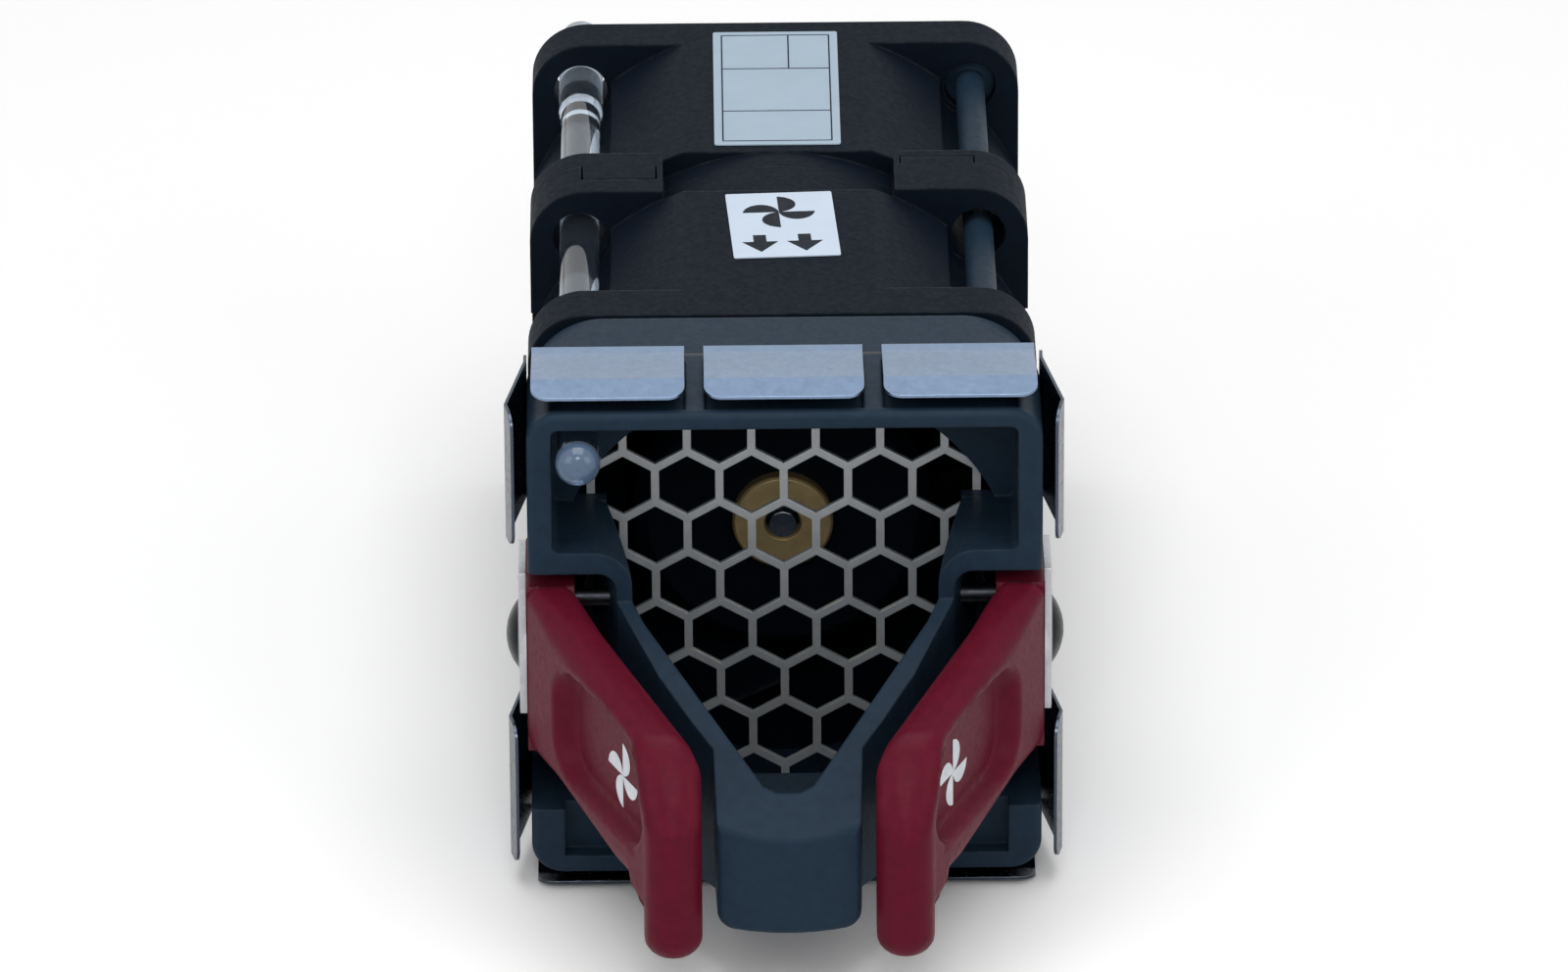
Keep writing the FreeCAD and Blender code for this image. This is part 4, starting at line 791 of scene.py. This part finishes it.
class GripSymbolOperator(bpy.types.Operator):
    """Print a white fan symbol on the floor of each grip's recess"""

    bl_idname = "fan_module.grip_symbols"
    bl_label = "Grip symbols"

    def execute(self, context):
        sizes = context.scene.fan_module_labels
        white = ink_finish(from_screen(222, 226, 232), "symbol_white")
        outside, step = 30 * MM, 1.5 * MM
        for side, sign in (("left", -1), ("right", 1)):
            start = (sign * outside, RIM - sizes.symbol_ahead, sizes.symbol_height)
            spot, ahead, up = face_plane(bpy.data.objects[f"{side}_moulded_grip"], start,
                                         (-sign, 0, 0), (0, -step * sign, 0), (0, 0, step))
            across, along = np.array(ahead) * sign, np.array(up)
            if np.cross(across, along)[0] * sign < 0:
                across = -across
            symbol = printed(f"{side}_grip_symbol", fan_symbol(sizes.symbol_size), spot, across,
                             along, 2 * GLUE, sizes.print_lift)
            symbol.data.materials.append(white)
            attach(symbol, f"{side}_grip")
        return {"FINISHED"}


def lamp(name, watts, size, place, aim):
    """A square soft lamp that faces a point."""
    light = bpy.data.lights.new(name, "AREA")
    light.energy = watts
    light.size = size
    holder = bpy.data.objects.new(name, light)
    bpy.context.scene.collection.objects.link(holder)
    holder.location = place
    holder.rotation_euler = (Vector(aim) - Vector(place)).to_track_quat("-Z", "Y").to_euler()


def greater(tree, first, second):
    """The greater of two values."""
    node = tree.nodes.new("ShaderNodeMath")
    node.operation = "MAXIMUM"
    tree.links.new(first, node.inputs[0])
    tree.links.new(second, node.inputs[1])
    return node.outputs[0]


def studio_world(ambient):
    """A white world at the ambient strength, which the camera, mirrors and glass see at full
    white."""
    world = bpy.data.worlds.new("studio")
    world.use_nodes = True
    tree = world.node_tree
    paths = tree.nodes.new("ShaderNodeLightPath")
    seen = greater(tree, paths.outputs["Is Camera Ray"], paths.outputs["Is Glossy Ray"])
    seen = greater(tree, seen, paths.outputs["Is Transmission Ray"])
    level = spread(tree, seen, 0.0, 1.0, ambient, 1.0)
    tree.links.new(level, tree.nodes["Background"].inputs["Strength"])
    tree.nodes["Background"].inputs["Color"].default_value = (1, 1, 1, 1)
    return world


def aimed_camera(sizes, aim):
    """A camera at a distance from the aim, turned by azimuth and elevation, then rolled."""
    e, a, r = sizes.elevation, sizes.azimuth, sizes.roll
    back = Vector((math.sin(a) * math.cos(e), -math.cos(a) * math.cos(e), math.sin(e)))
    right = Vector((math.cos(a), math.sin(a), 0))
    up = back.cross(right)
    right, up = right * math.cos(r) + up * math.sin(r), up * math.cos(r) - right * math.sin(r)
    camera = bpy.data.objects.new("camera", bpy.data.cameras.new("camera"))
    bpy.context.scene.collection.objects.link(camera)
    camera.data.lens = sizes.lens
    camera.data.sensor_width = 36
    camera.data.clip_start, camera.data.clip_end = 0.05, 20
    aside, raised = 0.125 * MM, 1.786 * MM
    place = Vector(aim) + back * sizes.distance + right * aside + up * raised
    turned = Matrix((right, up, back)).transposed().to_4x4()
    camera.matrix_world = Matrix.Translation(place) @ turned
    return camera


def floor_paint():
    """Matt pale paint, which the camera alone sees a quarter brighter."""
    pale, seen = (0.93,) * 3, (1.18,) * 3
    paint = finish("pale_floor", pale, 0.0, (0.9, 0.95), 40, 0.01 * MM)
    tree = paint.node_tree
    paths = tree.nodes.new("ShaderNodeLightPath")
    mix = tree.nodes.new("ShaderNodeMix")
    mix.data_type = "RGBA"
    mix.inputs["A"].default_value = (*pale, 1)
    mix.inputs["B"].default_value = (*seen, 1)
    tree.links.new(paths.outputs["Is Camera Ray"], mix.inputs["Factor"])
    tree.links.new(mix.outputs["Result"], tree.nodes["Principled BSDF"].inputs["Base Color"])
    return paint


class StageOperator(bpy.types.Operator):
    """Floor, world, lamps and camera"""

    bl_idname = "fan_module.stage"
    bl_label = "Stage"

    def execute(self, context):
        sizes = context.scene.fan_module_stage
        half, gap = 1.5, 0.02 * MM
        x, y = np.meshgrid(*[np.linspace(-half, half, 3)] * 2)
        height = np.full_like(x, CAD_BOX[0].z - gap)
        floor = mesh_from_grid("floor", np.stack([x, y, height], -1))
        floor.data.materials.append(floor_paint())
        context.scene.world = studio_world(sizes.ambient)
        aim = (0, -0.05, 0)
        for name, share, size, place in (("overhead", 1.0, 0.5, (0.0, -0.12, 0.6)),
                                         ("front_left", 0.36, 0.4, (-0.5, -0.5, 0.3)),
                                         ("front_right", 0.36, 0.4, (0.5, -0.5, 0.3)),
                                         ("front_middle", 0.5, 0.25, (0.0, -0.75, 0.5))):
            lamp(name, sizes.key * share, size, place, aim)
        context.scene.camera = aimed_camera(sizes, aim)
        context.scene.view_settings.view_transform = "Standard"
        return {"FINISHED"}


class FanModulePanel(bpy.types.Panel):
    """The module's pieces and stage"""

    bl_idname = "VIEW3D_PT_fan_module"
    bl_label = "Fan Module"
    bl_space_type = "VIEW_3D"
    bl_region_type = "UI"
    bl_category = "Fan Module"

    def draw(self, context):
        for operator in OPERATORS:
            self.layout.operator(operator.bl_idname)
        for group in GROUPS:
            settings = getattr(context.scene, group)
            for name in settings.bl_rna.properties.keys():
                if name not in ("name", "rna_type"):
                    self.layout.prop(settings, name)


OPERATORS = (FinishOperator, GripOperator, RatingLabelOperator, AirflowLabelOperator,
             GripSymbolOperator, StageOperator)
CLASSES = (*GROUPS.values(), *OPERATORS, FanModulePanel)


def register():
    """Add the classes, and one group of settings each to the scene."""
    for each in CLASSES:
        bpy.utils.register_class(each)
    for name, group in GROUPS.items():
        setattr(bpy.types.Scene, name, bpy.props.PointerProperty(type=group))


def unregister():
    """Take the settings and the classes away again."""
    for name in GROUPS:
        delattr(bpy.types.Scene, name)
    for each in reversed(CLASSES):
        bpy.utils.unregister_class(each)


def main():
    """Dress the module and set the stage."""
    register()
    bpy.ops.fan_module.finishes()
    bpy.ops.fan_module.grips()
    bpy.ops.fan_module.rating_label()
    bpy.ops.fan_module.airflow_label()
    bpy.ops.fan_module.grip_symbols()
    bpy.ops.fan_module.stage()


if __name__ == "__main__":
    main()
